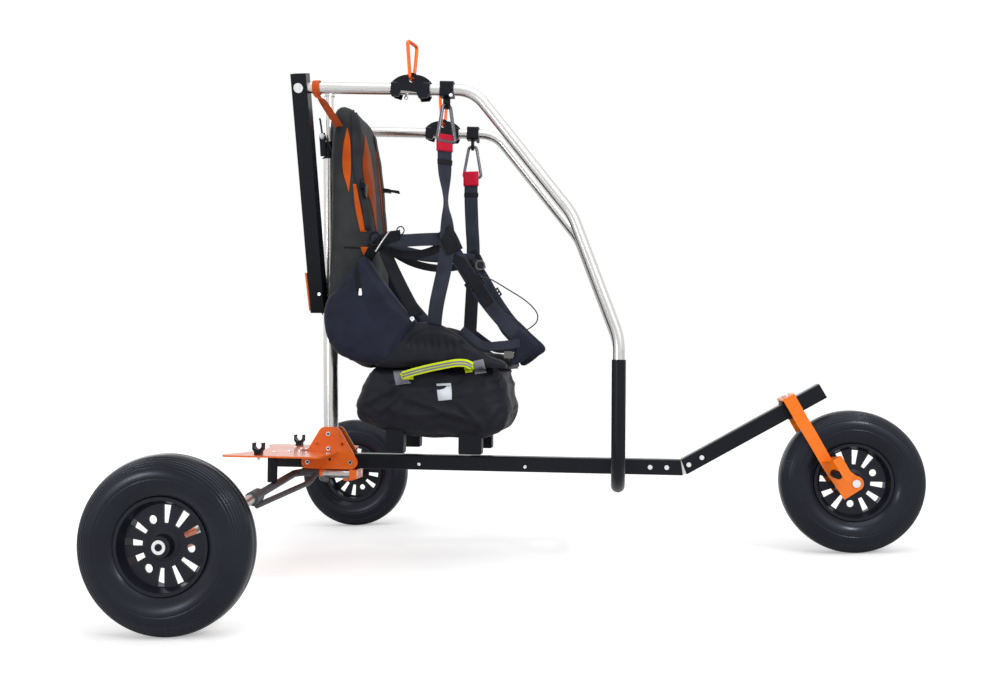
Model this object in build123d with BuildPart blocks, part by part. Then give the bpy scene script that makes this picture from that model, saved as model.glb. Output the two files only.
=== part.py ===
"""Paramotor trike: a three-wheeled undercarriage with a hung harness, in millimetres.

The model stands on the floor at Z = 0, nose toward +X, its right side toward -Y, with the
origin midway between the axles. The frame itself runs nose down by keel_slope, so everything
bolted to it is drawn on the plane `side`: local x runs along the keel (u), local y rises
square to it (w), and the plane's normal points to the trike's right.
"""
import os
from math import atan, cos, degrees, radians, sin, tan

from build123d import *

os.makedirs("parts", exist_ok=True)

# Stance
wheelbase = 1678
track = 1670
keel_height = 324.3
keel_slope = 3.1

# Running clearances
seat_gap = 0.3
fit_gap = 0.05
tube_gap = 0.25
joiner_gap = 0.4

# Wheels
tyre_od = 406
tyre_width = 102
bead_play = 0.5
bead_radius = 101
flange_radius = 110
flange_thickness = 5
rim_width = 72
rim_wall = 4
web_thickness = 7
web_offset = 8
hub_radius = 24
hub_length = 76
axle_d = 20
window_inner = 50
window_outer = 91
window_inner_width = 18
window_side_angle = 95
rear_wheel_turn = {"right": -7, "left": 70}
front_wheel_turn = 22
shoulder_drop = 17
shoulder_in = 9
belly_radius = 145
crown_half = 16
web_flare = 4
hub_flare = 3
hub_round = 12
hub_rear_round = 8
rim_lip = 5
round_hole_d = 20
round_hole_circle = 63
spoke_places = 12
round_hole_every = 4

# Keel, boom and the bent joiner inside them
box_tube = 45
box_wall = 3
box_corner = 4
keel_rear = -20
joint_to_front = 475
joint_u = wheelbase - joint_to_front
joint_opening = 12
boom_angle = 30
boom_length = 458
boom_sleeve_wall = 4.5
boom_sleeve_rear = 26
boom_sleeve_length = 42
joiner_in_keel = 130
joiner_in_boom = 90
joint_bolt_d = 8
head_share = 0.85
head_thickness = 4
joiner_overlap = 3
mitre_lip = 0.5
keel_bolt_stations = (-95, -47)
boom_bolt_stations = (19, 62)

# Mast and head fitting
mast_u = 145
mast_wall = 2.5
mast_lean = 1.2
mast_top = 922
collar_height = 53
collar_wall = 5
stem_d = 26
stem_height = 160
knob_d = 34
knob_height = 18
knob_round = 5

# Fan plates on both sides of the keel
plate_thickness = 6
plate_lobes = ((80, -5, 20), (213, -4, 21), (160, 80, 22), (133, 80, 22))
plate_rear = 56
plate_bolts = ((80, -5), (213, -4), (mast_u - 1, 37), (mast_u - 2, 81))
plate_holes = ((109, 50), (186, 50))
plate_bolt_d = 8
plate_hole_d = 8.5
keel_side_hole = (148, 4)

# Top tubes, lower hoop and arms
tube_spacing = 522
top_tube_d = 32
top_tube_wall = 2
top_rear = (115, 1073)
top_inside_arm = 15
top_bend = (608, 1054)
top_bend_radius = 100
knee_radius = 170
ankle_radius = 190
shin_fall = 2.6
hoop_u = 1014
knee_behind_hoop = 130
knee_bend = (hoop_u - knee_behind_hoop, 708)
hoop_wall = 3
hoop_top = 310
hoop_bend_radius = 120
tube_in_hoop = 60
arm_above_tube = 38
arm_foot_w = 452
cross_bolt = (126, 500)
arm_wall = 3
arm_bolt_d = 10
arm_bolt_head_d = 27
arm_bolt_head = 5
arm_mast_gap = 2
arm_inner_corner = 1
gusset_height = 110
gusset_thickness = 5
gusset_past_arm = 4
gusset_foot_in = 12

# Wing hang brackets, riser clamps and snap links
bracket_u = 433
bracket_length = 120
bracket_rise = 46
bracket_thickness = 10
bracket_hole_d = 15
bracket_crown = 14
bracket_collar = 20
bracket_collar_in = 5
cheek_thickness = 5
cheek_outline = (
    (-56, 13), (-50, 0), (-57, -13), (-52, -20), (-31, -26), (-26, -8),
    (18, -12), (26, -30), (50, -28), (56, -16), (46, 0), (56, 12),
)
bracket_skirt = -4
bracket_shoulder = 14
bracket_sweep = 60
bracket_crown_drop = 6
bracket_hole_drop = 20
clamp_u = 535
clamp_length = 38
clamp_wall = 5
clamp_tab_drop = 30
clamp_tab_thickness = 8
clamp_hole_d = 13.5
clamp_hole_rise = 9
clamp_eye_wall = 6
clamp_corner = 6
clamp_lug_overlap = 1
link_rod_d = 10
link_height = 112
link_width = 70
link_narrow = 12
link_narrow_radius = 12
link_wide_radius = 9
link_play = 0.5
wing_link_turn = 75
riser_link_turn = {"right": 43, "left": 0}

# Deck, saddles and dampers
deck_thickness = 5
deck_slot = 2
deck_rear = -116
deck_front = 176
deck_half_width = 232
deck_ear_radius = 24
deck_rear_notch = 46
deck_waist = 400
plate_room = 6
saddle_spread = 382
saddle_u = -16
saddle_bar_d = 25
saddle_length = 30
saddle_width = 26
saddle_height = 34
saddle_stem = 18
saddle_neck = 8
saddle_jaw = 16
damper_y = 215
damper_d = 28
damper_play = 0.1

# Swing arms and axles
pivot_w = -37
pivot_spread = 50
pivot_pin_d = 16
pin_in_arm = 20
pin_end_play = 0.5
arm_tube_d = 22
pivot_block_u = 212
pivot_block_length = 22
hanger_u = 119
hanger_length = 8
arm_heel_u = 45
arm_heel_radius = 34
claw_y = 360
claw_length = 46
claw_wall = 5
claw_floor = 12
claw_web = 16
brace_d = 16
brace_drop = 26
brace_gap = 24
brace_lead = 6
brace_knee_y = 65
brace_knee_radius = 30
axle_tube_d = 28
axle_tube_short = 4
carrier_length = 70
carrier_size = 44
carrier_corner = 10
stub_inset = 8
washer_length = 5
washer_rim = 6

# Fork
fork_station = 361
fork_bar = 6
fork_inner_top = 50
fork_inner_low = 58
fork_splay_starts = -40
fork_splay_ends = -92
fork_splay_shift = 1.5
blade_outline = ((-19, 60), (18, 60), (14, -170), (-12, -290), (-19, -190))
fork_crown_gap = 8
fork_lobe_radius = 21
lobe_web_front = (0.6, 0.8)
lobe_web_foot = (0.1, 0.995)
king_pin_d = 12
front_bolt_d = 12
bolt_head_d = 22
bolt_tip = 1
spacer_rim = 5
peg_at = (0, -212)
peg_d = 22
guard_bar = 4
guard_top = -168
guard_reach = 60
guard_root = (-14, 14)
guard_plate = (7, 33)
guard_foot = -227

# Harness
pad_half_width = 130
wing_outer = 188
back_rear_low = 194
back_front_low = 300
side_rear_low = 304
bag_rear_top = 303
back_outline = (
    (178, 420), (176, 900), (188, 1012), (206, 1042), (236, 1044),
    (254, 1005), (262, 900), (276, 800), (287, 690), (300, 440),
)
side_outline = (
    (250, 295), (199, 325), (174, 372), (174, 640), (250, 690), (313, 636),
    (427, 422), (511, 412), (560, 389), (603, 355), (650, 329), (700, 300),
)
seat_front = 703
seat_thickness = 48
seat_lip = 12
seat_lip_low = 16
seat_lip_high = 38.4
bag_top = 283
bag_half_width = 178
bag_floor = 98
bag_outline = (
    (269, 193), (262, 158), (273, 129), (341, 103), (474, 90), (606, 95),
    (694, 113), (724, 145), (719, 170), (699, 226),
)
skid_spans = ((346, 399), (559, 626))
skid_bottom = 36
foot_spread = 250
foot_width = 44
handle_arc = ((400, 252), (515, 302), (604, 262))
handle_depth = 13
handle_thickness = 9
webbing = 44
webbing_thickness = 4
loop_width = 40
loop_play = 0.5
sleeve_width = 50
sleeve_bulge = 2
sleeve_length = 36
junction_u = 540
junction_w = 646
junction_gap = 1.6
strap_width = 38
strap_junction = (junction_u, junction_w - strap_width / 2 - junction_gap, tube_spacing / 2)
strap_y = wing_outer + seat_gap + webbing_thickness / 2
panel_y = 150
panel_lap = 3
panel_thickness = 6
panel_outline = (
    (655, 452), (690, 452), (795, 352), (766, 317),
    (721, 286), (708, 300), (724, 340), (660, 410),
)
hanger_strap_u = 156
hanger_patch = (212, 1000)
ring_width = 9
ring_wall = 4
ring_strap_width = 21
patch_length = 30
patch_height = 34
cord_d = 3.5
cord_share = 0.45
cord_route = (
    (620, 540, 212), (648, 538, 209), (677, 522, 204), (708, 503, 198), (747, 480, 191),
    (776, 455, 184), (788, 434, 176), (783, 415, 168), (768, 402, 160), (753, 394, 154),
)

hands = ((-1, "right"), (1, "left"))
slope = radians(keel_slope)
tube_y = tube_spacing / 2
box_half = box_tube / 2
box_inner = box_tube - 2 * box_wall
tyre_radius = tyre_od / 2
rear_x = -wheelbase / 2
front_x = wheelbase / 2
hoop_d = top_tube_d + 2 * hoop_wall + 2 * tube_gap
mast_d = box_tube - 2 * tube_gap
plate_outer = box_half + plate_thickness

side = Plane(origin=(rear_x, 0, keel_height), x_dir=(cos(slope), 0, -sin(slope)), z_dir=(0, -1, 0))
across = Plane(origin=side.origin, x_dir=(0, 1, 0), z_dir=side.x_dir)
deck_plane = Plane(origin=side.origin, x_dir=side.x_dir, z_dir=side.y_dir)


def turned(plane, u, w, angle):
    """The side plane moved to (u, w) and turned up by angle."""
    return Plane(plane.location * Location((u, w, 0), (0, 0, angle)))


def at(u, w, y):
    """A point of the frame: along the keel, square to it, and to the left."""
    return side.from_local_coords(Vector(u, w, -y))


boom_side = turned(side, joint_u, 0, boom_angle)
fork_side = turned(boom_side, fork_station, 0, 0)
mast_side = turned(side, mast_u, 0, mast_lean)
frame_up = Axis((0, 0, 0), tuple(side.y_dir))
rear_axle = side.to_local_coords(Vector(rear_x, 0, tyre_radius))
front_axle_at = fork_side.to_local_coords(Vector(front_x, 0, tyre_radius))


def save(piece, name):
    piece.part.label = name
    export_step(piece.part, "parts/" + name + ".step")


def save_together(pieces, name):
    """Like pieces that don't touch, kept as the solids of one sub-part."""
    with BuildPart() as together:
        for piece in pieces:
            add(piece.part)
    save(together, name)


def cut_across(plane, places, hole_d, reach):
    """Round holes through everything between -reach and +reach of a side plane."""
    with BuildSketch(plane.offset(reach)) as holes:
        with Locations(*places):
            Circle(hole_d / 2)
    extrude(holes.sketch, amount=-2 * reach, mode=Mode.SUBTRACT)


def bent_tube(points, radii, outer_d, inner_d=0):
    """A round tube along straight runs joined by tangent arcs."""
    with BuildPart() as tube:
        with BuildLine() as path:
            if len(points) == 2:
                Line(*points)
            else:
                FilletPolyline(*points, radius=radii)
        with BuildSketch(Plane(origin=path.line @ 0, z_dir=path.line % 0)):
            Circle(outer_d / 2)
            if inner_d:
                Circle(inner_d / 2, mode=Mode.SUBTRACT)
        sweep(path=path.line)
    return tube


def strap(start, end, width, thickness, flat_to=(0, 1, 0)):
    """A straight length of webbing whose flat face looks along flat_to."""
    run = end - start
    face = Vector(*flat_to)
    edge = run.cross(face)
    with BuildPart() as band:
        with BuildSketch(Plane(origin=start, x_dir=edge, z_dir=run)):
            Rectangle(width, thickness)
        extrude(amount=run.length)
    return band


# Keel: square tube, its front end cut back below so the bent joiner shows in the opening.
mitre = box_half * tan(radians(boom_angle / 2))
with BuildPart() as keel:
    with BuildSketch(across.offset(keel_rear)):
        RectangleRounded(box_tube, box_tube, box_corner)
        RectangleRounded(box_inner, box_inner, box_corner - box_wall, mode=Mode.SUBTRACT)
    extrude(amount=joint_u - keel_rear + mitre)
    with BuildSketch(side.offset(box_tube)):
        with BuildLine():
            Polyline(
                (joint_u - mitre, box_tube),
                (joint_u - mitre - mitre_lip, box_half),
                (joint_u + mitre - joint_opening / 2, -box_half),
                (joint_u + mitre - joint_opening / 2, -box_tube),
                (joint_u + 2 * box_tube, -box_tube),
                (joint_u + 2 * box_tube, box_tube),
                close=True,
            )
        make_face()
    extrude(amount=-2 * box_tube, mode=Mode.SUBTRACT)
    cut_across(side, [(joint_u + s, 0) for s in keel_bolt_stations], joint_bolt_d + 2 * fit_gap, box_tube)
    cut_across(side, plate_bolts[:2], plate_bolt_d + 2 * fit_gap, box_tube)
save(keel, "keel")

# Boom: the same square tube, rising to carry the fork, with a sleeve round it at the king pin.
boom_across = Plane(origin=boom_side.origin, x_dir=(0, 1, 0), z_dir=boom_side.x_dir)
with BuildPart() as boom:
    with BuildSketch(boom_across.offset(-mitre)):
        RectangleRounded(box_tube, box_tube, box_corner)
        RectangleRounded(box_inner, box_inner, box_corner - box_wall, mode=Mode.SUBTRACT)
    extrude(amount=boom_length + mitre)
    with BuildSketch(boom_side.offset(box_tube)):
        with BuildLine():
            Polyline(
                (mitre, box_tube),
                (mitre + mitre_lip, box_half),
                (-mitre + joint_opening / 2, -box_half),
                (-mitre + joint_opening / 2, -box_tube),
                (-2 * box_tube, -box_tube),
                (-2 * box_tube, box_tube),
                close=True,
            )
        make_face()
    extrude(amount=-2 * box_tube, mode=Mode.SUBTRACT)
    cut_across(boom_side, [(s, 0) for s in boom_bolt_stations], joint_bolt_d + 2 * fit_gap, box_tube)
    with BuildSketch(boom_across.offset(fork_station - boom_sleeve_rear)):
        sleeve_size = box_tube + 2 * boom_sleeve_wall
        RectangleRounded(sleeve_size, sleeve_size, box_corner + boom_sleeve_wall)
        RectangleRounded(box_inner, box_inner, box_corner - box_wall, mode=Mode.SUBTRACT)
    extrude(amount=boom_sleeve_length)
    with BuildSketch(Plane(origin=fork_side.origin, z_dir=fork_side.y_dir).offset(box_tube)):
        Circle(king_pin_d / 2 + fit_gap)
    extrude(amount=-2 * box_tube, mode=Mode.SUBTRACT)
save(boom, "boom")

# Joiner: the bent insert that slides into both tubes.
joiner_size = box_inner - 2 * joiner_gap
with BuildPart() as joiner:
    with BuildSketch(side.offset(-joiner_size / 2)):
        with Locations((joint_u - joiner_in_keel / 2 + joiner_overlap, 0)):
            Rectangle(joiner_in_keel + 2 * joiner_overlap, joiner_size)
    extrude(amount=joiner_size)
    with BuildSketch(boom_side.offset(-joiner_size / 2)):
        with Locations((joiner_in_boom / 2 - joiner_overlap, 0)):
            Rectangle(joiner_in_boom + 2 * joiner_overlap, joiner_size)
    extrude(amount=joiner_size)
    cut_across(side, [(joint_u + s, 0) for s in keel_bolt_stations], joint_bolt_d + 2 * fit_gap, box_tube)
    cut_across(boom_side, [(s, 0) for s in boom_bolt_stations], joint_bolt_d + 2 * fit_gap, box_tube)
save(joiner, "boom_joiner")


def through_bolts(plane, places, bolt_d, grip):
    """Bolts square to a side plane, a flat round head on both ends."""
    head = bolt_d * head_share
    with BuildPart() as bolts:
        with BuildSketch(plane.offset(-grip - head_thickness)):
            with Locations(*places):
                Circle(bolt_d / 2)
        extrude(amount=2 * (grip + head_thickness))
        for level in (grip + seat_gap, -grip - seat_gap - head_thickness):
            with BuildSketch(plane.offset(level)):
                with Locations(*places):
                    Circle(head)
            extrude(amount=head_thickness)
    return bolts


keel_bolts = through_bolts(side, [(joint_u + s, 0) for s in keel_bolt_stations], joint_bolt_d, box_half)
boom_bolts = through_bolts(boom_side, [(s, 0) for s in boom_bolt_stations], joint_bolt_d, box_half)

# Mast: round tube standing on the keel between the fan plates, leaning back a little.
mast_foot = box_half + mast_d / 2 * tan(radians(mast_lean)) + seat_gap
mast_up = Plane(origin=mast_side.origin, x_dir=(0, 1, 0), z_dir=mast_side.y_dir)
mast_bolts = plate_bolts[2:]
with BuildPart() as mast:
    with BuildSketch(mast_up.offset(mast_foot)):
        Circle(mast_d / 2)
        Circle(mast_d / 2 - mast_wall, mode=Mode.SUBTRACT)
    extrude(amount=mast_top - mast_foot)
    cut_across(side, mast_bolts, plate_bolt_d + 2 * fit_gap, box_tube)
    cut_across(side, [cross_bolt], arm_bolt_d + 2 * fit_gap, box_tube)
save(mast, "mast")

# Mast head: a collar over the tube's end, a slimmer stem and a round knob on top.
with BuildPart() as mast_collar:
    with BuildSketch(mast_up.offset(mast_top + seat_gap)):
        Circle(mast_d / 2)
    extrude(amount=collar_wall)
    with BuildSketch(mast_up.offset(mast_top + seat_gap + collar_wall)):
        Circle(mast_d / 2 - collar_wall)
    extrude(amount=collar_height - collar_wall)
save(mast_collar, "mast_collar")

stem_foot = mast_top + seat_gap + collar_height + seat_gap
with BuildPart() as mast_head:
    with BuildSketch(mast_up.offset(stem_foot)):
        Circle(stem_d / 2)
    extrude(amount=stem_height - knob_height)
    with BuildSketch(mast_up.offset(stem_foot + stem_height - knob_height)):
        Circle(knob_d / 2)
    extrude(amount=knob_height)
    fillet(mast_head.edges().filter_by(GeomType.CIRCLE).sort_by(Axis.Z)[-1:], knob_round)
save(mast_head, "mast_head")

# Fan plates: two flat plates that clamp the keel and the mast between them.
fan_plates = []
for hand, name in hands:
    with BuildPart() as fan_plate:
        with BuildSketch(side.offset(-hand * box_half)):
            for u, w, r in plate_lobes:
                with Locations((u, w)):
                    Circle(r)
            make_hull()
        extrude(amount=-hand * plate_thickness)
        cut_across(side, plate_bolts, plate_bolt_d + 2 * fit_gap, 2 * box_tube)
        cut_across(side, (*plate_holes, keel_side_hole), plate_hole_d, 2 * box_tube)
    fan_plates.append(fan_plate)
save_together(fan_plates, "fan_plates")
clamp_bolts = through_bolts(side, plate_bolts, plate_bolt_d, plate_outer)

# Top tubes: bent stainless tubes, their rear ends inside the arms, their feet inside the hoop.
rail_angle = degrees(atan((top_bend[1] - top_rear[1]) / (top_bend[0] - top_rear[0])))
rail_side = turned(side, top_rear[0], top_rear[1], rail_angle)
rail_start = side.to_local_coords(rail_side.from_local_coords(Vector(-top_inside_arm, 0, 0)))
ankle_bend = (hoop_u, knee_bend[1] - knee_behind_hoop * shin_fall)
tube_foot = (hoop_u, hoop_top - tube_in_hoop)
tube_corners = [(rail_start.X, rail_start.Y), top_bend, knee_bend, ankle_bend, tube_foot]

arm_foot_y = mast_d / 2 + box_half + arm_mast_gap
arm_head_w = top_rear[1] + arm_above_tube
arm_spread = (tube_y - arm_foot_y) / (top_rear[1] - arm_foot_w)
arm_head_y = arm_foot_y + arm_spread * (arm_head_w - arm_foot_w)


def arm_frame(hand):
    """The plane across an arm at the height of its top tube, its z running up the arm."""
    foot = at(top_rear[0], arm_foot_w, hand * arm_foot_y)
    head = at(top_rear[0], arm_head_w, hand * arm_head_y)
    return Plane(origin=at(*top_rear, hand * tube_y), x_dir=side.x_dir, z_dir=head - foot)


for hand, name in hands:
    top_tube = bent_tube(
        [at(u, w, hand * tube_y) for u, w in tube_corners],
        [top_bend_radius, knee_radius, ankle_radius],
        top_tube_d,
        top_tube_d - 2 * top_tube_wall,
    )
    with top_tube:
        level = arm_frame(hand)
        with BuildSketch(Plane(origin=level.origin, z_dir=level.y_dir).offset(box_tube)) as hole:
            Circle(arm_bolt_d / 2 + fit_gap)
        extrude(hole.sketch, amount=-2 * box_tube, mode=Mode.SUBTRACT)
    save(top_tube, "top_tube_" + name)

# Lower hoop: one bent tube under the keel.
hoop_w = -box_half - hoop_d / 2 - seat_gap
hoop_corners = ((hoop_top, -tube_y), (hoop_w, -tube_y), (hoop_w, tube_y), (hoop_top, tube_y))
hoop = bent_tube(
    [at(hoop_u, w, y) for w, y in hoop_corners],
    [hoop_bend_radius, hoop_bend_radius],
    hoop_d,
    top_tube_d + 2 * tube_gap,
)
save(hoop, "lower_hoop")

# Arms: square tubes from the mast's sides out to the rear ends of the top tubes.
with BuildPart() as arm_bolts:
    with BuildSketch(side.offset(-arm_foot_y - box_tube)):
        with Locations(cross_bolt):
            Circle(arm_bolt_d / 2)
    extrude(amount=2 * (arm_foot_y + box_tube))
    for hand, name in hands:
        level = arm_frame(hand)
        outward = Plane(origin=level.origin, z_dir=level.y_dir * (1 if level.y_dir.Y * hand > 0 else -1))
        with BuildSketch(outward.offset(-box_half - head_thickness)):
            Circle(arm_bolt_d / 2)
        extrude(amount=box_tube + 2 * head_thickness)
        for start in (box_half + seat_gap, -box_half - seat_gap - arm_bolt_head):
            with BuildSketch(outward.offset(start)):
                Circle(arm_bolt_head_d / 2)
            extrude(amount=arm_bolt_head)
save_together([keel_bolts, boom_bolts, clamp_bolts, arm_bolts], "frame_bolts")

for hand, name in hands:
    level = arm_frame(hand)
    foot = at(top_rear[0], arm_foot_w, hand * arm_foot_y)
    length = (level.origin - foot).length
    with BuildPart() as arm:
        with BuildSketch(level.offset(-length)):
            RectangleRounded(box_tube, box_tube, box_corner)
            arm_inner = box_tube - 2 * arm_wall
            RectangleRounded(arm_inner, arm_inner, arm_inner_corner, mode=Mode.SUBTRACT)
        extrude(amount=length + arm_above_tube)
        with BuildSketch(Plane(origin=level.origin, z_dir=rail_side.x_dir)):
            Circle(top_tube_d / 2 + tube_gap)
        extrude(amount=box_tube, mode=Mode.SUBTRACT)
        with BuildSketch(Plane(origin=level.origin, z_dir=level.y_dir).offset(box_tube)):
            Circle(arm_bolt_d / 2 + fit_gap)
        extrude(amount=-2 * box_tube, mode=Mode.SUBTRACT)
        cut_across(side, [cross_bolt], arm_bolt_d + 2 * fit_gap, 3 * box_tube)
    save(arm, "arm_" + name)

gusset_half = arm_foot_y + box_half + gusset_past_arm
with BuildPart() as gusset:
    with BuildSketch(across.offset(top_rear[0] - box_half - gusset_thickness - seat_gap)):
        with BuildLine():
            Polyline(
                (-gusset_half + gusset_foot_in, arm_foot_w),
                (gusset_half - gusset_foot_in, arm_foot_w),
                (gusset_half + arm_spread * gusset_height, arm_foot_w + gusset_height),
                (-gusset_half - arm_spread * gusset_height, arm_foot_w + gusset_height),
                close=True,
            )
        make_face()
    extrude(amount=gusset_thickness)
save(gusset, "arm_gusset")

# Hang brackets: a bell-shaped web on two collars round the top tube, a cheek plate on each side.
bracket_at = bracket_u - top_rear[0]
clamp_half = top_tube_d / 2 + clamp_wall
brackets = []
for hand, name in hands:
    rail = rail_side.offset(-hand * tube_y)
    with BuildPart() as bracket:
        with BuildSketch(rail.offset(-bracket_thickness / 2)):
            with BuildLine():
                rear_foot = (bracket_at - bracket_length / 2, bracket_shoulder)
                front_foot = (bracket_at + bracket_length / 2, bracket_shoulder)
                rear_crown = (bracket_at - bracket_crown, bracket_rise - bracket_crown_drop)
                front_crown = (bracket_at + bracket_crown, bracket_rise - bracket_crown_drop)
                RadiusArc(rear_foot, rear_crown, bracket_sweep)
                ThreePointArc(rear_crown, (bracket_at, bracket_rise), front_crown)
                RadiusArc(front_crown, front_foot, bracket_sweep)
                Polyline(front_foot, (front_foot[0], bracket_skirt), (rear_foot[0], bracket_skirt), rear_foot)
            make_face()
        extrude(amount=bracket_thickness)
        for end in (-1, 1):
            collar_mid = bracket_at + end * ((bracket_length - bracket_collar) / 2 - bracket_collar_in)
            collar_start = rail.from_local_coords(Vector(collar_mid - bracket_collar / 2, 0, 0))
            with BuildSketch(Plane(origin=collar_start, z_dir=rail.x_dir)):
                Circle(clamp_half)
            extrude(amount=bracket_collar)
            with BuildSketch(rail.offset(end * (top_tube_d / 2 + fit_gap))):
                with BuildLine():
                    Polyline(*[(bracket_at + u, w) for u, w in cheek_outline], close=True)
                make_face()
            extrude(amount=end * cheek_thickness)
        with BuildSketch(Plane(origin=rail.origin, z_dir=rail.x_dir)):
            Circle(top_tube_d / 2 + fit_gap)
        extrude(amount=2 * bracket_at, mode=Mode.SUBTRACT)
        with BuildSketch(rail.offset(-box_tube)):
            with Locations((bracket_at, bracket_rise - bracket_hole_drop)):
                Circle(bracket_hole_d / 2)
        extrude(amount=2 * box_tube, mode=Mode.SUBTRACT)
    brackets.append(bracket)
save_together(brackets, "hang_brackets")


def snap_link(top, turn, upright):
    """A closed link of round rod, its narrow end at top, turned about the vertical."""
    up = side.y_dir * (1 if upright else -1)
    sideways = side.x_dir.rotate(frame_up, turn)
    face = Plane(origin=top, x_dir=sideways, z_dir=sideways.cross(up))
    half = (link_width - link_rod_d) / 2
    fall = link_height - link_rod_d
    with BuildPart() as link:
        with BuildLine(face) as path:
            FilletPolyline(
                (half, fall), (link_narrow, 0), (-link_narrow, 0), (-half, fall),
                radius=[link_wide_radius, link_narrow_radius, link_narrow_radius, link_wide_radius],
                close=True,
            )
        with BuildSketch(Plane(origin=path.line @ 0, z_dir=path.line % 0)):
            Circle(link_rod_d / 2)
        sweep(path=path.line)
    return link


# Wing links stand up from the brackets, their narrow end in the bracket's hole.
wing_links = []
for hand, name in hands:
    rail = rail_side.offset(-hand * tube_y)
    eye = rail.from_local_coords(Vector(bracket_at, bracket_rise - bracket_hole_drop + link_play, 0))
    wing_links.append(snap_link(eye, wing_link_turn, True))
save_together(wing_links, "wing_links")

# Riser clamps: a block round the tube with a lug below for the riser's link.
clamp_at = clamp_u - top_rear[0]
lug_fall = clamp_tab_drop - clamp_hole_rise
clamps, riser_links = [], []


def riser_eye(hand):
    """The centre of the hole in a riser clamp's lug."""
    return rail_side.offset(-hand * tube_y).from_local_coords(Vector(clamp_at, -clamp_half - lug_fall, 0))


for hand, name in hands:
    rail = rail_side.offset(-hand * tube_y)
    turn = riser_link_turn[name]
    eye = riser_eye(hand)
    facing = side.x_dir.rotate(frame_up, turn)
    lug = Plane(origin=eye, x_dir=facing.cross(side.y_dir), z_dir=facing)
    with BuildPart() as clamp:
        clamp_start = rail.from_local_coords(Vector(clamp_at - clamp_length / 2, 0, 0))
        with BuildSketch(Plane(origin=clamp_start, x_dir=(0, 1, 0), z_dir=rail.x_dir)):
            RectangleRounded(2 * clamp_half, 2 * clamp_half, clamp_corner)
            Circle(top_tube_d / 2 + fit_gap, mode=Mode.SUBTRACT)
        extrude(amount=clamp_length)
        with BuildSketch(lug.offset(-clamp_tab_thickness / 2)):
            Circle(clamp_hole_d / 2 + clamp_eye_wall)
            with Locations((0, -lug_fall / 2 - clamp_lug_overlap)):
                Rectangle(clamp_hole_d + 2 * clamp_eye_wall, lug_fall + 2 * clamp_lug_overlap)
        extrude(amount=clamp_tab_thickness)
        with BuildSketch(lug.offset(-box_tube)):
            Circle(clamp_hole_d / 2)
        extrude(amount=2 * box_tube, mode=Mode.SUBTRACT)
    clamps.append(clamp)
    riser_links.append(snap_link(eye - side.y_dir * link_play, turn, False))
save_together(clamps, "riser_clamps")
save_together(riser_links, "riser_links")

# Deck: a flat plate on the keel, its front end slotted round the fan plates, ears at its corners.
deck_bottom = box_half + seat_gap
deck_mid = (deck_rear + deck_front) / 2
slot_length = 2 * (deck_front - plate_rear + deck_slot)
with BuildPart() as deck:
    with BuildSketch(deck_plane.offset(deck_bottom)):
        with Locations((deck_mid, 0)):
            RectangleRounded(deck_front - deck_rear, 2 * deck_half_width, deck_ear_radius)
        with Locations((deck_rear - deck_waist + deck_rear_notch, 0)):
            Circle(deck_waist, mode=Mode.SUBTRACT)
        with Locations((deck_front, 0)):
            Rectangle(slot_length, 2 * (plate_outer + plate_room), mode=Mode.SUBTRACT)
    extrude(amount=deck_thickness)
save(deck, "deck_plate")

# Saddles: two upright clamps on the deck with an open groove for the engine frame's lower bar.
saddle_foot = deck_bottom + deck_thickness + seat_gap
groove_w = saddle_foot + saddle_height - saddle_bar_d / 4
with BuildPart() as saddles:
    for e in (-1, 1):
        with BuildSketch(side.offset(e * saddle_spread / 2 - saddle_width / 2)):
            with BuildLine():
                jaw, stem = saddle_length / 2, saddle_stem / 2
                Polyline(
                    (saddle_u - stem, saddle_foot),
                    (saddle_u + stem, saddle_foot),
                    (saddle_u + stem, saddle_foot + saddle_neck),
                    (saddle_u + jaw, saddle_foot + saddle_jaw),
                    (saddle_u + jaw, saddle_foot + saddle_height),
                    (saddle_u - jaw, saddle_foot + saddle_height),
                    (saddle_u - jaw, saddle_foot + saddle_jaw),
                    (saddle_u - stem, saddle_foot + saddle_neck),
                    close=True,
                )
            make_face()
            with Locations((saddle_u, groove_w)):
                Circle(saddle_bar_d / 2, mode=Mode.SUBTRACT)
        extrude(amount=saddle_width)
save(saddles, "saddles")

# Pivots: pins along the keel under the fan plates, held by a front block and a rear hanger.
pin_start = arm_heel_u + arm_heel_radius - pin_in_arm
block_top = min(w - r for u, w, r in plate_lobes) - seat_gap
with BuildPart() as pivot_block:
    with BuildSketch(across.offset(pivot_block_u)):
        with Locations((0, (block_top + pivot_w - pivot_pin_d) / 2)):
            Rectangle(pivot_spread + 2 * pivot_pin_d, block_top - pivot_w + pivot_pin_d)
        with Locations((pivot_spread / 2, pivot_w), (-pivot_spread / 2, pivot_w)):
            Circle(pivot_pin_d / 2 + fit_gap, mode=Mode.SUBTRACT)
    extrude(amount=pivot_block_length)

with BuildPart() as hanger:
    with BuildSketch(across.offset(hanger_u)):
        for e in (-1, 1):
            with Locations((e * pivot_spread / 2, pivot_w)):
                Circle(arm_tube_d / 2)
        with Locations((0, (block_top + pivot_w) / 2)):
            Rectangle(pivot_spread, block_top - pivot_w)
        with Locations((pivot_spread / 2, pivot_w), (-pivot_spread / 2, pivot_w)):
            Circle(pivot_pin_d / 2 + fit_gap, mode=Mode.SUBTRACT)
    extrude(amount=hanger_length)
save_together([pivot_block, hanger], "pivot_blocks")

with BuildPart() as pivot_pins:
    with BuildSketch(across.offset(pin_start)):
        with Locations((pivot_spread / 2, pivot_w), (-pivot_spread / 2, pivot_w)):
            Circle(pivot_pin_d / 2)
    extrude(amount=pivot_block_u + pivot_block_length - pin_start)
save(pivot_pins, "pivot_pins")

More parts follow.
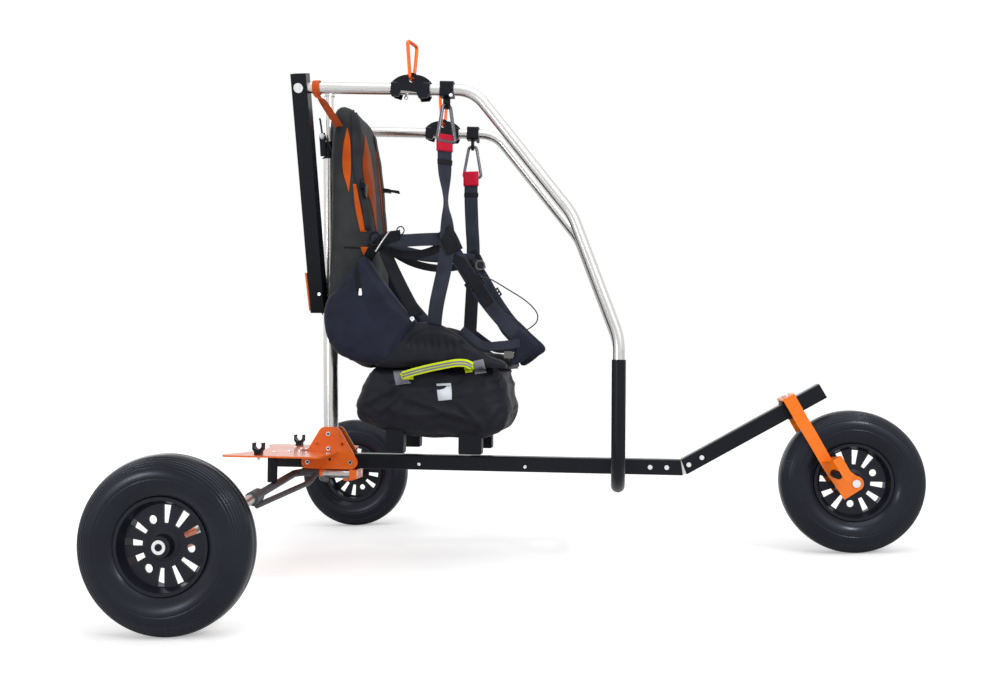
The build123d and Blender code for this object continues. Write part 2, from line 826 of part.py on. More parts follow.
# Swing arms: a tube turned on the pivot pin and swept out, with a brace under it and a clamp at its end.
carrier_y = track / 2 - hub_length / 2 - washer_length
carrier_inner_y = carrier_y - carrier_length
axle_u, axle_w = rear_axle.X, rear_axle.Y
heel = Vector(arm_heel_u, pivot_w, pivot_spread / 2)
hub_end = Vector(axle_u, axle_w, carrier_inner_y)


def along_arm(y):
    """The point of the swing arm's straight run at a distance y from the centre plane."""
    share = (y - heel.Z) / (hub_end.Z - heel.Z)
    return heel + (hub_end - heel) * share


carriers, axle_tubes, stub_axles = [], [], []
for hand, name in hands:
    tip = along_arm(claw_y)
    route = [(hanger_u - seat_gap, pivot_w, pivot_spread / 2), tuple(heel), tuple(tip)]
    tip_at = at(tip.X, tip.Y, hand * tip.Z)
    heel_at = at(heel.X, heel.Y, hand * heel.Z)
    outward = Plane(origin=tip_at, z_dir=tip_at - heel_at)
    brace_end = along_arm(claw_y - claw_length / 2)
    arm_tube = bent_tube([at(u, w, hand * y) for u, w, y in route], [arm_heel_radius], arm_tube_d)
    brace = bent_tube(
        [
            at(hanger_u - arm_tube_d / 2, pivot_w, hand * pivot_spread / 2),
            at(hanger_u - arm_tube_d, pivot_w - brace_drop, hand * brace_knee_y),
            at(brace_end.X + brace_lead, brace_end.Y - brace_gap, hand * brace_end.Z),
        ],
        [brace_knee_radius],
        brace_d,
    )
    with BuildPart() as swing_arm:
        add(arm_tube.part)
        add(brace.part)
        with BuildSketch(outward.offset(-claw_length)):
            Circle(axle_tube_d / 2 + claw_wall)
        extrude(amount=claw_length)
        claw_mid = at(brace_end.X + brace_lead / 2, brace_end.Y - brace_gap / 2, hand * brace_end.Z)
        claw_face = Plane(origin=claw_mid, x_dir=side.x_dir, z_dir=outward.z_dir)
        with BuildSketch(claw_face.offset(-claw_web / 2)):
            Rectangle(brace_d, brace_gap)
        extrude(amount=claw_web)
        with BuildSketch(outward.offset(-claw_length + claw_floor)):
            Circle(axle_tube_d / 2 + fit_gap)
        extrude(amount=claw_length, mode=Mode.SUBTRACT)
        with BuildSketch(across.offset(pin_start - pin_end_play)):
            with Locations((hand * pivot_spread / 2, pivot_w)):
                Circle(pivot_pin_d / 2 + fit_gap)
        extrude(amount=hanger_u, mode=Mode.SUBTRACT)
    save(swing_arm, "swing_arm_" + name)

    # Axle tube from the clamp to the hub carrier, then the stub axle square to the wheel.
    stub = Plane(origin=at(axle_u, axle_w, hand * carrier_inner_y), z_dir=(0, hand, 0))
    with BuildPart() as carrier:
        with BuildSketch(stub):
            RectangleRounded(carrier_size, carrier_size, carrier_corner)
        extrude(amount=carrier_length)
        with BuildSketch(outward.offset(-claw_length)):
            Circle(axle_tube_d / 2 + fit_gap)
        extrude(amount=(hub_end - tip).length + claw_length + carrier_length / 2, mode=Mode.SUBTRACT)
        with BuildSketch(stub.offset(carrier_length / 2)):
            Circle(axle_d / 2 + fit_gap)
        extrude(amount=carrier_length, mode=Mode.SUBTRACT)
    carriers.append(carrier)
    with BuildPart() as axle_tube:
        with BuildSketch(outward.offset(-claw_length + claw_floor + seat_gap)):
            Circle(axle_tube_d / 2)
        outer_run = (hub_end - tip).length + carrier_length / 2 - axle_tube_short
        extrude(amount=outer_run + claw_length - claw_floor)
    axle_tubes.append(axle_tube)
    with BuildPart() as stub_axle:
        with BuildSketch(stub.offset(carrier_length / 2 + stub_inset)):
            Circle(axle_d / 2)
        extrude(amount=carrier_length / 2 - stub_inset + washer_length + hub_length + washer_length)
        with BuildSketch(stub.offset(carrier_length + seat_gap)):
            Circle(axle_d / 2 + washer_rim)
        extrude(amount=washer_length - 2 * seat_gap)
        with BuildSketch(stub.offset(carrier_length + washer_length + hub_length + seat_gap)):
            Circle(axle_d / 2 + washer_rim)
        extrude(amount=washer_length)
    stub_axles.append(stub_axle)
save_together(carriers, "hub_carriers")
save_together(axle_tubes, "axle_tubes")
save_together(stub_axles, "stub_axles")

# Dampers: rubber columns between the deck and the swing arms.
damper_lift = damper_d / 2 * abs(hub_end.Y - heel.Y) / (hub_end.Z - heel.Z) + damper_play
with BuildPart() as dampers:
    for hand, name in hands:
        low = along_arm(damper_y)
        with BuildSketch(Plane(origin=at(low.X, box_half, hand * damper_y), z_dir=side.y_dir)):
            Circle(damper_d / 2)
        extrude(amount=low.Y + arm_tube_d / 2 + damper_lift - box_half + seat_gap)
save(dampers, "dampers")


# Wheels
def wheel(hub_centre, outer, rim_turn):
    """Tyre and rim of one wheel, its outer face looking along the y direction `outer`."""
    section = Plane(origin=hub_centre, x_dir=(0, outer, 0), z_dir=(outer, 0, 0))
    spin = Axis(hub_centre, (0, outer, 0))
    face = Plane(origin=hub_centre, x_dir=(1, 0, 0), z_dir=(0, outer, 0))
    bead = rim_width / 2 - flange_thickness - bead_play
    half_section = (
        (bead, bead_radius + fit_gap),
        (bead, flange_radius),
        (tyre_width / 2, belly_radius),
        (tyre_width / 2 - shoulder_in, tyre_radius - shoulder_drop),
        (crown_half, tyre_radius),
    )
    with BuildPart() as tyre:
        with BuildSketch(section):
            with BuildLine():
                Polyline(*half_section, *[(-y, r) for y, r in reversed(half_section)], close=True)
            make_face()
        revolve(axis=spin)
    well = rim_width / 2 - flange_thickness
    barrel = bead_radius - rim_wall
    with BuildPart() as rim:
        with BuildSketch(section):
            with BuildLine():
                Polyline(
                    (-hub_length / 2, axle_d / 2 + fit_gap),
                    (hub_length / 2, axle_d / 2 + fit_gap),
                    (hub_length / 2, hub_radius),
                    (web_offset + web_thickness + web_flare, hub_radius + hub_flare),
                    (web_offset + web_thickness, hub_radius + hub_round),
                    (web_offset + web_thickness, barrel - web_flare),
                    (rim_width / 2, barrel + rim_lip),
                    (rim_width / 2, flange_radius),
                    (well, flange_radius),
                    (well, bead_radius),
                    (-well, bead_radius),
                    (-well, flange_radius),
                    (-rim_width / 2, flange_radius),
                    (-rim_width / 2, barrel),
                    (web_offset, barrel),
                    (web_offset, hub_radius + hub_rear_round),
                    (-hub_length / 2, hub_radius),
                    close=True,
                )
            make_face()
        revolve(axis=spin)
        turn = 360 / spoke_places
        with BuildSketch(face.offset(-rim_width)):
            for place in range(spoke_places):
                angle = rim_turn + place * turn
                if place % round_hole_every == 0:
                    with PolarLocations(round_hole_circle, 1, start_angle=angle):
                        Circle(round_hole_d / 2)
                else:
                    with PolarLocations((window_inner + window_outer) / 2, 1, start_angle=angle):
                        Trapezoid(
                            window_inner_width, window_outer - window_inner, window_side_angle,
                            rotation=-90,
                        )
        extrude(amount=2 * rim_width, mode=Mode.SUBTRACT)
    return tyre, rim


for hand, name in hands:
    tyre, rim = wheel((rear_x, hand * track / 2, tyre_radius), hand, rear_wheel_turn[name])
    save(tyre, "rear_tyre_" + name)
    save(rim, "rear_rim_" + name)
front_tyre, front_rim = wheel((front_x, 0, tyre_radius), -1, front_wheel_turn)
save(front_tyre, "front_tyre")
save(front_rim, "front_rim")

# Fork: a flat bar bent into an upside-down U over the boom, an angled guard plate beside each peg.
axle_x, axle_y = front_axle_at.X, front_axle_at.Y
crown_low = box_half + fork_crown_gap
blade_outer = fork_inner_low + fork_bar
guard_edge = blade_outer + guard_reach
guard_mid = (guard_plate[0] + guard_plate[1]) / 2
guard_half = (guard_plate[1] - guard_plate[0]) / 2
lobe = fork_lobe_radius
fork_ahead = Plane(origin=fork_side.origin, x_dir=(0, 1, 0), z_dir=fork_side.x_dir)
with BuildPart() as fork:
    with BuildSketch(fork_ahead.offset(-box_tube * 2)):
        for grow, shift, mode in ((fork_bar, fork_splay_shift, Mode.ADD), (0, 0, Mode.SUBTRACT)):
            top, low = fork_inner_top + grow, fork_inner_low + grow
            with BuildLine():
                Polyline(
                    (-low, axle_y - 2 * lobe - 2 * (fork_bar - grow)),
                    (-low, fork_splay_ends - shift),
                    (-top, fork_splay_starts - shift),
                    (-top, crown_low + grow),
                    (top, crown_low + grow),
                    (top, fork_splay_starts - shift),
                    (low, fork_splay_ends - shift),
                    (low, axle_y - 2 * lobe - 2 * (fork_bar - grow)),
                    close=True,
                )
            make_face(mode=mode)
    extrude(amount=box_tube * 4)
    with BuildSketch(fork_side.offset(-2 * fork_inner_low)):
        with BuildLine():
            Polyline(*blade_outline, close=True)
        make_face()
        with Locations((axle_x, axle_y)):
            Circle(lobe)
        with BuildLine():
            Polyline(
                (axle_x + lobe_web_front[0] * lobe, axle_y + lobe_web_front[1] * lobe),
                blade_outline[2],
                blade_outline[3],
                (axle_x - lobe_web_foot[0] * lobe, axle_y - lobe_web_foot[1] * lobe),
                close=True,
            )
        make_face()
    extrude(amount=4 * fork_inner_low, mode=Mode.INTERSECT)
    with BuildSketch(fork_side.offset(2 * fork_inner_low)):
        with Locations((axle_x, axle_y)):
            Circle(front_bolt_d / 2 + fit_gap)
    extrude(amount=-4 * fork_inner_low, mode=Mode.SUBTRACT)
    with BuildSketch(Plane(origin=fork_side.origin, z_dir=fork_side.y_dir)):
        Circle(king_pin_d / 2 + fit_gap)
    extrude(amount=2 * crown_low, mode=Mode.SUBTRACT)
    guard_level = fork_side.from_local_coords(Vector(0, guard_top, 0))
    for hand, name in hands:
        with BuildSketch(Plane(origin=guard_level, x_dir=fork_side.x_dir, z_dir=fork_side.y_dir)):
            with BuildLine():
                Polyline(
                    (guard_root[0], hand * (blade_outer - guard_bar)),
                    (guard_root[0], hand * blade_outer),
                    (guard_plate[0], hand * guard_edge),
                    (guard_plate[1], hand * guard_edge),
                    (guard_root[1], hand * blade_outer),
                    (guard_root[1], hand * (blade_outer - guard_bar)),
                    close=True,
                )
            make_face()
        extrude(amount=-guard_bar)
        with BuildSketch(fork_side.offset(-hand * (guard_edge - guard_bar))):
            with Locations((guard_mid, (guard_top + guard_foot) / 2)):
                Rectangle(2 * guard_half, guard_top - guard_foot)
            with Locations((guard_mid, guard_foot)):
                Circle(guard_half)
        extrude(amount=-hand * guard_bar)
save(fork, "fork")

# King pin: turns with the fork, its washers bearing on the boom sleeve's top and bottom.
king_up = Plane(origin=fork_side.origin, z_dir=fork_side.y_dir)
sleeve_half = box_half + boom_sleeve_wall
with BuildPart() as king_pin:
    with BuildSketch(king_up.offset(-sleeve_half - washer_length - seat_gap)):
        Circle(king_pin_d / 2)
    extrude(amount=crown_low + fork_bar + sleeve_half + washer_length + 2 * seat_gap + bolt_tip)
    with BuildSketch(king_up.offset(-sleeve_half - 2 * washer_length - seat_gap)):
        Circle(bolt_head_d / 2)
    extrude(amount=2 * washer_length)
    with BuildSketch(king_up.offset(sleeve_half + seat_gap)):
        Circle(bolt_head_d / 2)
    extrude(amount=crown_low - sleeve_half - 2 * seat_gap)
    with BuildSketch(king_up.offset(crown_low + fork_bar + seat_gap)):
        Circle(bolt_head_d / 2)
    extrude(amount=washer_length)
save(king_pin, "king_pin")

# Front axle: a bolt through the fork's lobes, its middle a spacer the hub turns on.
axle_side = Plane(origin=(front_x, 0, tyre_radius), z_dir=(0, -1, 0))
with BuildPart() as front_axle:
    with BuildSketch(axle_side.offset(-blade_outer - bolt_tip)):
        Circle(front_bolt_d / 2)
    extrude(amount=2 * blade_outer + 2 * bolt_tip)
    with BuildSketch(axle_side.offset(-fork_inner_low + seat_gap)):
        Circle(axle_d / 2)
    extrude(amount=2 * fork_inner_low - 2 * seat_gap)
    for e in (-1, 1):
        with BuildSketch(axle_side.offset(e * (hub_length / 2 + seat_gap))):
            Circle(axle_d / 2 + spacer_rim)
        extrude(amount=e * (fork_inner_low - hub_length / 2 - 2 * seat_gap))
        with BuildSketch(axle_side.offset(e * (blade_outer + seat_gap))):
            Circle(bolt_head_d / 2)
        extrude(amount=e * washer_length)
save(front_axle, "front_axle")

# Foot pegs: rubber-covered pegs between the blades and the guard plates.
pegs = []
for hand, name in hands:
    root = fork_side.offset(-hand * (blade_outer + seat_gap))
    with BuildPart() as peg:
        with BuildSketch(root):
            with Locations(peg_at):
                Circle(peg_d / 2)
        extrude(amount=-hand * (guard_reach - guard_bar - 2 * seat_gap))
    pegs.append(peg)
save_together(pegs, "foot_pegs")

# Harness: a back pad, two side panels and a seat pad, drawn as plain padded solids.
pad_bottom = bag_top + seat_gap
with BuildPart() as harness_back:
    with BuildSketch(side.offset(-pad_half_width)):
        with BuildLine():
            Polyline((back_front_low, pad_bottom), (back_rear_low, pad_bottom), *back_outline, close=True)
        make_face()
    extrude(amount=2 * pad_half_width)
save(harness_back, "harness_back")

with BuildPart() as harness_sides:
    for e in (-1, 1):
        with BuildSketch(side.offset(e * (pad_half_width + seat_gap))):
            with BuildLine():
                Polyline((seat_front, pad_bottom), (side_rear_low, pad_bottom), *side_outline, close=True)
            make_face()
        extrude(amount=e * (wing_outer - pad_half_width - seat_gap))
save(harness_sides, "harness_sides")

with BuildPart() as harness_seat:
    with BuildSketch(side.offset(-pad_half_width)):
        with BuildLine():
            Polyline(
                (back_front_low + seat_gap, pad_bottom),
                (seat_front, pad_bottom),
                (seat_front + seat_lip, pad_bottom + seat_lip_low),
                (seat_front - seat_lip, pad_bottom + seat_lip_high),
                (back_front_low + seat_gap, pad_bottom + seat_thickness),
                close=True,
            )
        make_face()
    extrude(amount=2 * pad_half_width)
save(harness_seat, "harness_seat")

# Bag under the seat with its four skid blocks.
with BuildPart() as bag:
    with BuildSketch(side.offset(-bag_half_width)):
        with BuildLine():
            Polyline((bag_rear_top, bag_top), *bag_outline, (seat_front, bag_top), close=True)
        make_face()
    extrude(amount=2 * bag_half_width)
    for u_start, u_end in skid_spans:
        for e in (-1, 1):
            with BuildSketch(side.offset(e * foot_spread / 2 - foot_width / 2)):
                with Locations(((u_start + u_end) / 2, (skid_bottom + bag_floor) / 2)):
                    Rectangle(u_end - u_start, bag_floor - skid_bottom)
            extrude(amount=foot_width)
save(bag, "under_seat_bag")

# Bag handle: a padded band bowed over the bag's right side.
with BuildPart() as handle:
    with BuildSketch(side.offset(wing_outer + seat_gap)):
        with BuildLine():
            outer = ThreePointArc(*handle_arc)
            inner = ThreePointArc(*[(u, w - handle_depth) for u, w in handle_arc])
            Line(outer @ 0, inner @ 0)
            Line(outer @ 1, inner @ 1)
        make_face()
    extrude(amount=handle_thickness)
save(handle, "bag_handle")

# Risers: webbing from the links down to the harness, a sleeve over the loop at the top.
link_low = link_height - link_rod_d
sleeve_pair, riser_pair = [], []
for hand, name in hands:
    rod = riser_eye(hand) - side.y_dir * (link_play + link_low)
    along = side.x_dir.rotate(frame_up, riser_link_turn[name])
    loop = Plane(origin=rod, x_dir=along.cross(side.y_dir), z_dir=along)
    down = 1 if loop.y_dir.Z < 0 else -1
    with BuildPart() as sleeve:
        with BuildSketch(loop.offset(-loop_width / 2)):
            Circle(link_rod_d / 2 + loop_play + webbing_thickness)
            with Locations((0, down * sleeve_length / 4)):
                Rectangle(2 * webbing_thickness, sleeve_length / 2)
            Circle(link_rod_d / 2 + loop_play, mode=Mode.SUBTRACT)
        extrude(amount=loop_width)
        with BuildSketch(loop.offset(-sleeve_width / 2)):
            with Locations((0, down * (sleeve_length / 2 + link_rod_d))):
                Rectangle(2 * webbing_thickness + sleeve_bulge, sleeve_length - link_rod_d)
        extrude(amount=sleeve_width)
    sleeve_pair.append(sleeve)
    top = rod - side.y_dir * (sleeve_length + link_rod_d / 2 + 3 * seat_gap)
    low = at(junction_u, junction_w, hand * tube_y)
    riser = strap(top, low, webbing, webbing_thickness, tuple(loop.x_dir))
    riser_pair.append(riser)
save_together(sleeve_pair, "riser_sleeves")
save_together(riser_pair, "risers")

# Harness straps: from the foot of each riser to the back, the seat and the leg panel.
strap_runs = (
    (strap_junction, (385, 644, strap_y), (330, 650, strap_y)),
    (strap_junction, (500, 425, strap_y), (490, 392, strap_y)),
    (strap_junction, (612, 508, 205), (690, 412, panel_y + panel_lap)),
)
with BuildPart() as straps:
    for hand, name in hands:
        for run in strap_runs:
            for (u, w, y), (end_u, end_w, end_y) in zip(run[:-1], run[1:]):
                start, end = at(u, w, hand * y), at(end_u, end_w, hand * end_y)
                add(strap(start, end, strap_width, webbing_thickness).part)
        with BuildSketch(side.offset(-hand * panel_y)):
            with BuildLine():
                Polyline(*panel_outline, close=True)
            make_face()
        extrude(amount=-hand * panel_thickness)
save(straps, "harness_straps")

# Hanger straps: a ring on each top tube and a strap in to the top of the back pad.
ring_at = hanger_strap_u - top_rear[0]
with BuildPart() as hangers:
    for hand, name in hands:
        rail = rail_side.offset(-hand * tube_y)
        ring_start = rail.from_local_coords(Vector(ring_at - ring_width / 2, 0, 0))
        with BuildSketch(Plane(origin=ring_start, z_dir=rail.x_dir)):
            Circle(top_tube_d / 2 + ring_wall)
            Circle(top_tube_d / 2 + fit_gap, mode=Mode.SUBTRACT)
        extrude(amount=ring_width)
        start = rail.from_local_coords(Vector(ring_at, 0, 0))
        inward = Vector(0, -hand, 0) * (top_tube_d / 2 + ring_wall / 2)
        patch = at(*hanger_patch, hand * (pad_half_width + seat_gap + webbing_thickness / 2))
        add(strap(start + inward, patch, ring_strap_width, webbing_thickness - 1).part)
        with BuildSketch(side.offset(-hand * (pad_half_width + seat_gap))):
            with Locations(hanger_patch):
                Rectangle(patch_length, patch_height)
        extrude(amount=-hand * webbing_thickness)
save(hangers, "hanger_straps")

# Toggle line: a thin cord that bows out from the strap's buckle and returns to the leg panel.
cord_points = [at(u, w, -y) for u, w, y in cord_route]
runs = [(b - a).length for a, b in zip(cord_points[:-1], cord_points[1:])]
cord_radii = []
for before, point, after in zip(cord_points[:-2], cord_points[1:-1], cord_points[2:]):
    turn = radians((point - before).get_angle(after - point))
    shorter = min((point - before).length, (after - point).length)
    cord_radii.append(cord_share * shorter / tan(turn / 2))
print("cord runs", [round(run, 1) for run in runs], "radii", [round(r, 1) for r in cord_radii])
cord = bent_tube(cord_points, cord_radii, cord_d)
save(cord, "toggle_line")
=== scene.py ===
from math import atan2, cos, pi, radians, sin, tau

import bmesh
import bpy
from mathutils import Matrix, Vector, noise
from mathutils.bvhtree import BVHTree


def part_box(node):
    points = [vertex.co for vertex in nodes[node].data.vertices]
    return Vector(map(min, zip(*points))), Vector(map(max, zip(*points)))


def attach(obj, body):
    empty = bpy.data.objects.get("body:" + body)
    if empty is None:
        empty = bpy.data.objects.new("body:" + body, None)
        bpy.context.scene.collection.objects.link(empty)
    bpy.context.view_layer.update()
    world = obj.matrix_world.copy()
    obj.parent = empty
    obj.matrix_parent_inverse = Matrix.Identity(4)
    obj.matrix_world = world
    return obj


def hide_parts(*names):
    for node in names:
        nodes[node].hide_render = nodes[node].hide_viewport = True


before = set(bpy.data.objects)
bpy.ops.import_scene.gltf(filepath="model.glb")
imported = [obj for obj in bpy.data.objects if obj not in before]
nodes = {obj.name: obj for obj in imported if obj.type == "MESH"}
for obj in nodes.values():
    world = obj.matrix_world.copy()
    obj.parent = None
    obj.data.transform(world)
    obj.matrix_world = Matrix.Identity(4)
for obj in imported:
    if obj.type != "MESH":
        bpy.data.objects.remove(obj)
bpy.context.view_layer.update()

scene = bpy.context.scene
scene.view_settings.view_transform = "Standard"

# The frame's own directions: the trike stands nose down by keel_slope, so a point is given by its
# distance along the keel from the rear axle, square to the keel, and to the trike's left.
wheelbase = 1.678
keel_height = 0.3243
keel_slope = radians(3.1)
along_keel = Vector((cos(keel_slope), 0, -sin(keel_slope)))
off_keel = Vector((sin(keel_slope), 0, cos(keel_slope)))
to_left = Vector((0, 1, 0))


def at(u, w, y):
    return Vector((-wheelbase / 2, 0, keel_height)) + along_keel * u + off_keel * w + to_left * y


# Camera: stands off the right side, a little ahead of the harness, level with the seat.
# Its lens is worked out from a focal length in pixels of the 999 pixel wide photograph.
photo_width = 999
photo_middle = (499.5, 343)
focal_pixels = 1009
camera_place = (0.175, -3.014, 0.543)
camera_yaw, camera_pitch, camera_roll = radians(6.38), radians(2.0), radians(2.48)

camera = bpy.data.objects.new("camera", bpy.data.cameras.new("camera"))
camera.data.sensor_width = 36
camera.data.lens = focal_pixels * camera.data.sensor_width / photo_width
aim = (
    Matrix.Rotation(camera_yaw, 4, "Z")
    @ Matrix.Rotation(camera_pitch, 4, "X")
    @ Matrix.Rotation(camera_roll, 4, "Y")
    @ Matrix.Rotation(pi / 2, 4, "X")
)
camera.matrix_world = Matrix.Translation(camera_place) @ aim
scene.collection.objects.link(camera)
scene.camera = camera


# Studio: a white sweep lit by a broad lamp overhead and a white room, so that bright tube and
# gloss paint have something pale to mirror and the tyres keep a soft shadow on the floor.
def linear(red, green, blue):
    """A colour as a picture shows it, 0 to 255, in the light values a shader takes."""
    parts = [c / 255 for c in (red, green, blue)]
    return (*[c / 12.92 if c <= 0.04045 else ((c + 0.055) / 1.055) ** 2.4 for c in parts], 1)


def give(node, values):
    """Sets sockets of a shader node by their names."""
    for socket, value in values.items():
        node.inputs[socket].default_value = value


def shader(name, values):
    """A material, its nodes, and its surface with the sockets that values names."""
    material = bpy.data.materials.new(name)
    material.use_nodes = True
    tree = material.node_tree
    face = tree.nodes["Principled BSDF"]
    give(face, values)
    return material, tree, face


def add_node(tree, kind, values={}, feeds={}):
    """A shader node with its values set and its other sockets fed from earlier nodes."""
    node = tree.nodes.new("ShaderNode" + kind)
    give(node, values)
    for socket, source in feeds.items():
        tree.links.new(source, node.inputs[socket])
    return node


room_light = 0.55
lamp_power = 70
floor_reach = 14
floor_lift_near, floor_lift_far = 0.36, 0.62
sweep_starts, sweep_ends = 1.8, 5.0
lamps_aim_at = Vector((-0.1, 0, 0.6))

world = bpy.data.worlds.new("studio")
scene.world = world
world.use_nodes = True
room = world.node_tree
room_glow = room.nodes["Background"]
give(room_glow, {"Color": (1, 1, 1, 1)})
rays = add_node(room, "LightPath")
mirrored = add_node(
    room, "Math", feeds={0: rays.outputs["Is Glossy Ray"], 1: rays.outputs["Is Transmission Ray"]})
mirrored.operation = "MAXIMUM"
seen = add_node(room, "Math", feeds={0: rays.outputs["Is Camera Ray"], 1: mirrored.outputs[0]})
seen.operation = "MAXIMUM"
glow = add_node(room, "MapRange", {"To Min": room_light, "To Max": 1.0}, {"Value": seen.outputs[0]})
room.links.new(glow.outputs["Result"], room_glow.inputs["Strength"])

floor = bpy.data.objects.new("floor", bpy.data.meshes.new("floor"))
floor.data.from_pydata(
    [(-floor_reach, -floor_reach, 0), (floor_reach, -floor_reach, 0),
     (floor_reach, floor_reach, 0), (-floor_reach, floor_reach, 0)], [], [(0, 1, 2, 3)])
scene.collection.objects.link(floor)
paper, paper_tree, paper_face = shader("studio_paper", {
    "Base Color": (0.86, 0.86, 0.86, 1), "Roughness": 0.9, "Specular IOR Level": 0.1,
    "Emission Color": (1, 1, 1, 1)})
paper_rays = add_node(paper_tree, "LightPath")
paper_place = add_node(paper_tree, "TexCoord")
from_middle = add_node(paper_tree, "VectorMath", feeds={0: paper_place.outputs["Object"]})
from_middle.operation = "LENGTH"
sweep_up = add_node(
    paper_tree, "MapRange",
    {"From Min": sweep_starts, "From Max": sweep_ends, "To Min": floor_lift_near, "To Max": floor_lift_far},
    {"Value": from_middle.outputs["Value"]})
paper_lift = add_node(
    paper_tree, "Math", feeds={0: paper_rays.outputs["Is Camera Ray"], 1: sweep_up.outputs["Result"]})
paper_lift.operation = "MULTIPLY"
paper_tree.links.new(paper_lift.outputs[0], paper_face.inputs["Emission Strength"])
floor.data.materials.append(paper)

for name, place, size, share in (
    ("overhead", (0.4, -1.2, 4.2), 4.0, 1.0),
    ("front_fill", (3.2, -3.4, 2.2), 2.4, 0.25),
    ("rear_fill", (-3.6, 2.6, 2.4), 2.4, 0.35),
    ("key", (2.4, -3.8, 3.0), 0.5, 0.7),
    ("low_key", (-3.0, -4.2, 1.2), 0.5, 0.35),
):
    lamp = bpy.data.objects.new(name, bpy.data.lights.new(name, "AREA"))
    lamp.data.energy = lamp_power * share
    lamp.data.size = size
    lamp.location = place
    lamp.rotation_euler = (lamps_aim_at - Vector(place)).to_track_quat("-Z", "Y").to_euler()
    scene.collection.objects.link(lamp)


# Toggle line: a thin braided line that leaves the strap's lock, bows out ahead of the leg panel
# and goes back into it. It hangs on its own stiffness, in the air on the trike's right side.
line_diameter = 0.0035
line_route = (
    (0.620, 0.540, 0.212), (0.648, 0.538, 0.209), (0.677, 0.522, 0.204), (0.708, 0.503, 0.198),
    (0.747, 0.480, 0.191), (0.776, 0.455, 0.184), (0.788, 0.434, 0.176), (0.783, 0.415, 0.168),
    (0.768, 0.402, 0.160), (0.753, 0.394, 0.154),
)


def raised(tree, face, height, strength, distance):
    """Lets a pattern lift the surface by as much as distance."""
    rise = add_node(tree, "Bump", {"Strength": strength, "Distance": distance}, {"Height": height})
    tree.links.new(rise.outputs["Normal"], face.inputs["Normal"])


def braid():
    material, tree, face = shader("braided_line", {"Base Color": linear(28, 28, 30), "Roughness": 0.6})
    where = add_node(tree, "TexCoord")
    twist = add_node(tree, "TexWave", {"Scale": 220, "Distortion": 2}, {"Vector": where.outputs["Object"]})
    raised(tree, face, twist.outputs["Fac"], 0.4, 0.0004)
    return material


def rod(name, points, thickness, material, roundness=3, closed=False):
    """A round line or a bent rod through points, on the frame body."""
    bent = bpy.data.curves.new(name, "CURVE")
    bent.dimensions = "3D"
    bent.bevel_depth = thickness / 2
    bent.bevel_resolution = roundness
    bent.use_fill_caps = True
    run = bent.splines.new("NURBS")
    run.points.add(len(points) - 1)
    for knot, point in zip(run.points, points):
        knot.co = (*point, 1)
    run.order_u = 3
    run.use_endpoint_u = not closed
    run.use_cyclic_u = closed
    bent.materials.append(material)
    piece = bpy.data.objects.new(name, bent)
    scene.collection.objects.link(piece)
    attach(piece, "frame")
    return piece


toggle_line = rod("toggle_line_soft", [at(u, w, -y) for u, w, y in line_route], line_diameter, braid(), 4)
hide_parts("toggle_line")


# Metal, plastic and rubber: keel, boom, arms and hoop are powder coated black, fork, plates and deck
# gloss orange, cage and mast polished stainless tube, pins turned alloy, clamps and rims moulded.
def noise_bump(tree, face, scale, distance, strength):
    where = add_node(tree, "TexCoord")
    grain = add_node(tree, "TexNoise", {"Scale": scale, "Detail": 3}, {"Vector": where.outputs["Object"]})
    raised(tree, face, grain.outputs["Fac"], strength, distance)
    return where, grain


def worn(tree, face, where, low, high, scale):
    """Lets the roughness drift a little over the piece, as on handled parts."""
    drift = add_node(tree, "TexNoise", {"Scale": scale}, {"Vector": where.outputs["Object"]})
    spread = add_node(
        tree, "MapRange", {"From Min": 0.3, "From Max": 0.7, "To Min": low, "To Max": high},
        {"Value": drift.outputs["Fac"]})
    tree.links.new(spread.outputs["Result"], face.inputs["Roughness"])


def coat_of_paint(name, colour, roughness, coat=0.0, shine=0.5):
    material, tree, face = shader(name, {
        "Base Color": linear(*colour), "Specular IOR Level": shine, "Specular Tint": (0.86, 0.9, 1, 1),
        "Coat Weight": coat, "Coat Roughness": 0.08})
    where, grain = noise_bump(tree, face, 900, 0.00015, 0.35)
    worn(tree, face, where, roughness * 0.8, roughness * 1.25, 14)
    return material


def bare_metal(name, colour, roughness, grain=0.15):
    material, tree, face = shader(name, {"Base Color": linear(*colour), "Metallic": 1})
    where, pattern = noise_bump(tree, face, 500, 0.00003, grain)
    worn(tree, face, where, roughness * 0.85, roughness * 1.15, 12)
    return material


black_coat = coat_of_paint("black_powder_coat", (10, 11, 18), 0.3, 0.05, 0.22)
orange_coat = coat_of_paint("orange_gloss", (236, 106, 22), 0.26, 0.3)
fork_coat = coat_of_paint("fork_orange_gloss", (244, 120, 8), 0.26, 0.2, 0.35)
gunmetal_coat = coat_of_paint("gunmetal_enamel", (70, 74, 78), 0.34, 0.05, 0.35)
polished_tube = bare_metal("polished_tube", (212, 211, 209), 0.25, 0.0)
turned_alloy = bare_metal("turned_alloy", (214, 214, 214), 0.3)
zinc_bolt = bare_metal("zinc_bolt", (238, 239, 241), 0.25)
link_steel = bare_metal("link_steel", (104, 104, 110), 0.3)
anodised_orange = bare_metal("anodised_orange", (236, 106, 56), 0.32)
moulded_black = coat_of_paint("moulded_black", (12, 13, 19), 0.4, 0, 0.2)
rim_black = coat_of_paint("rim_black", (20, 21, 29), 0.34, 0, 0.28)
rubber_black = coat_of_paint("rubber_black", (16, 16, 20), 0.6, 0, 0.2)
# What small fittings are made of: a material and the slot that goes with it. The black one also serves for
# the painted shade of the screw and axle sockets.
plastic = (moulded_black, "black_plastic")
zinc = (zinc_bolt, "bolt_steel")

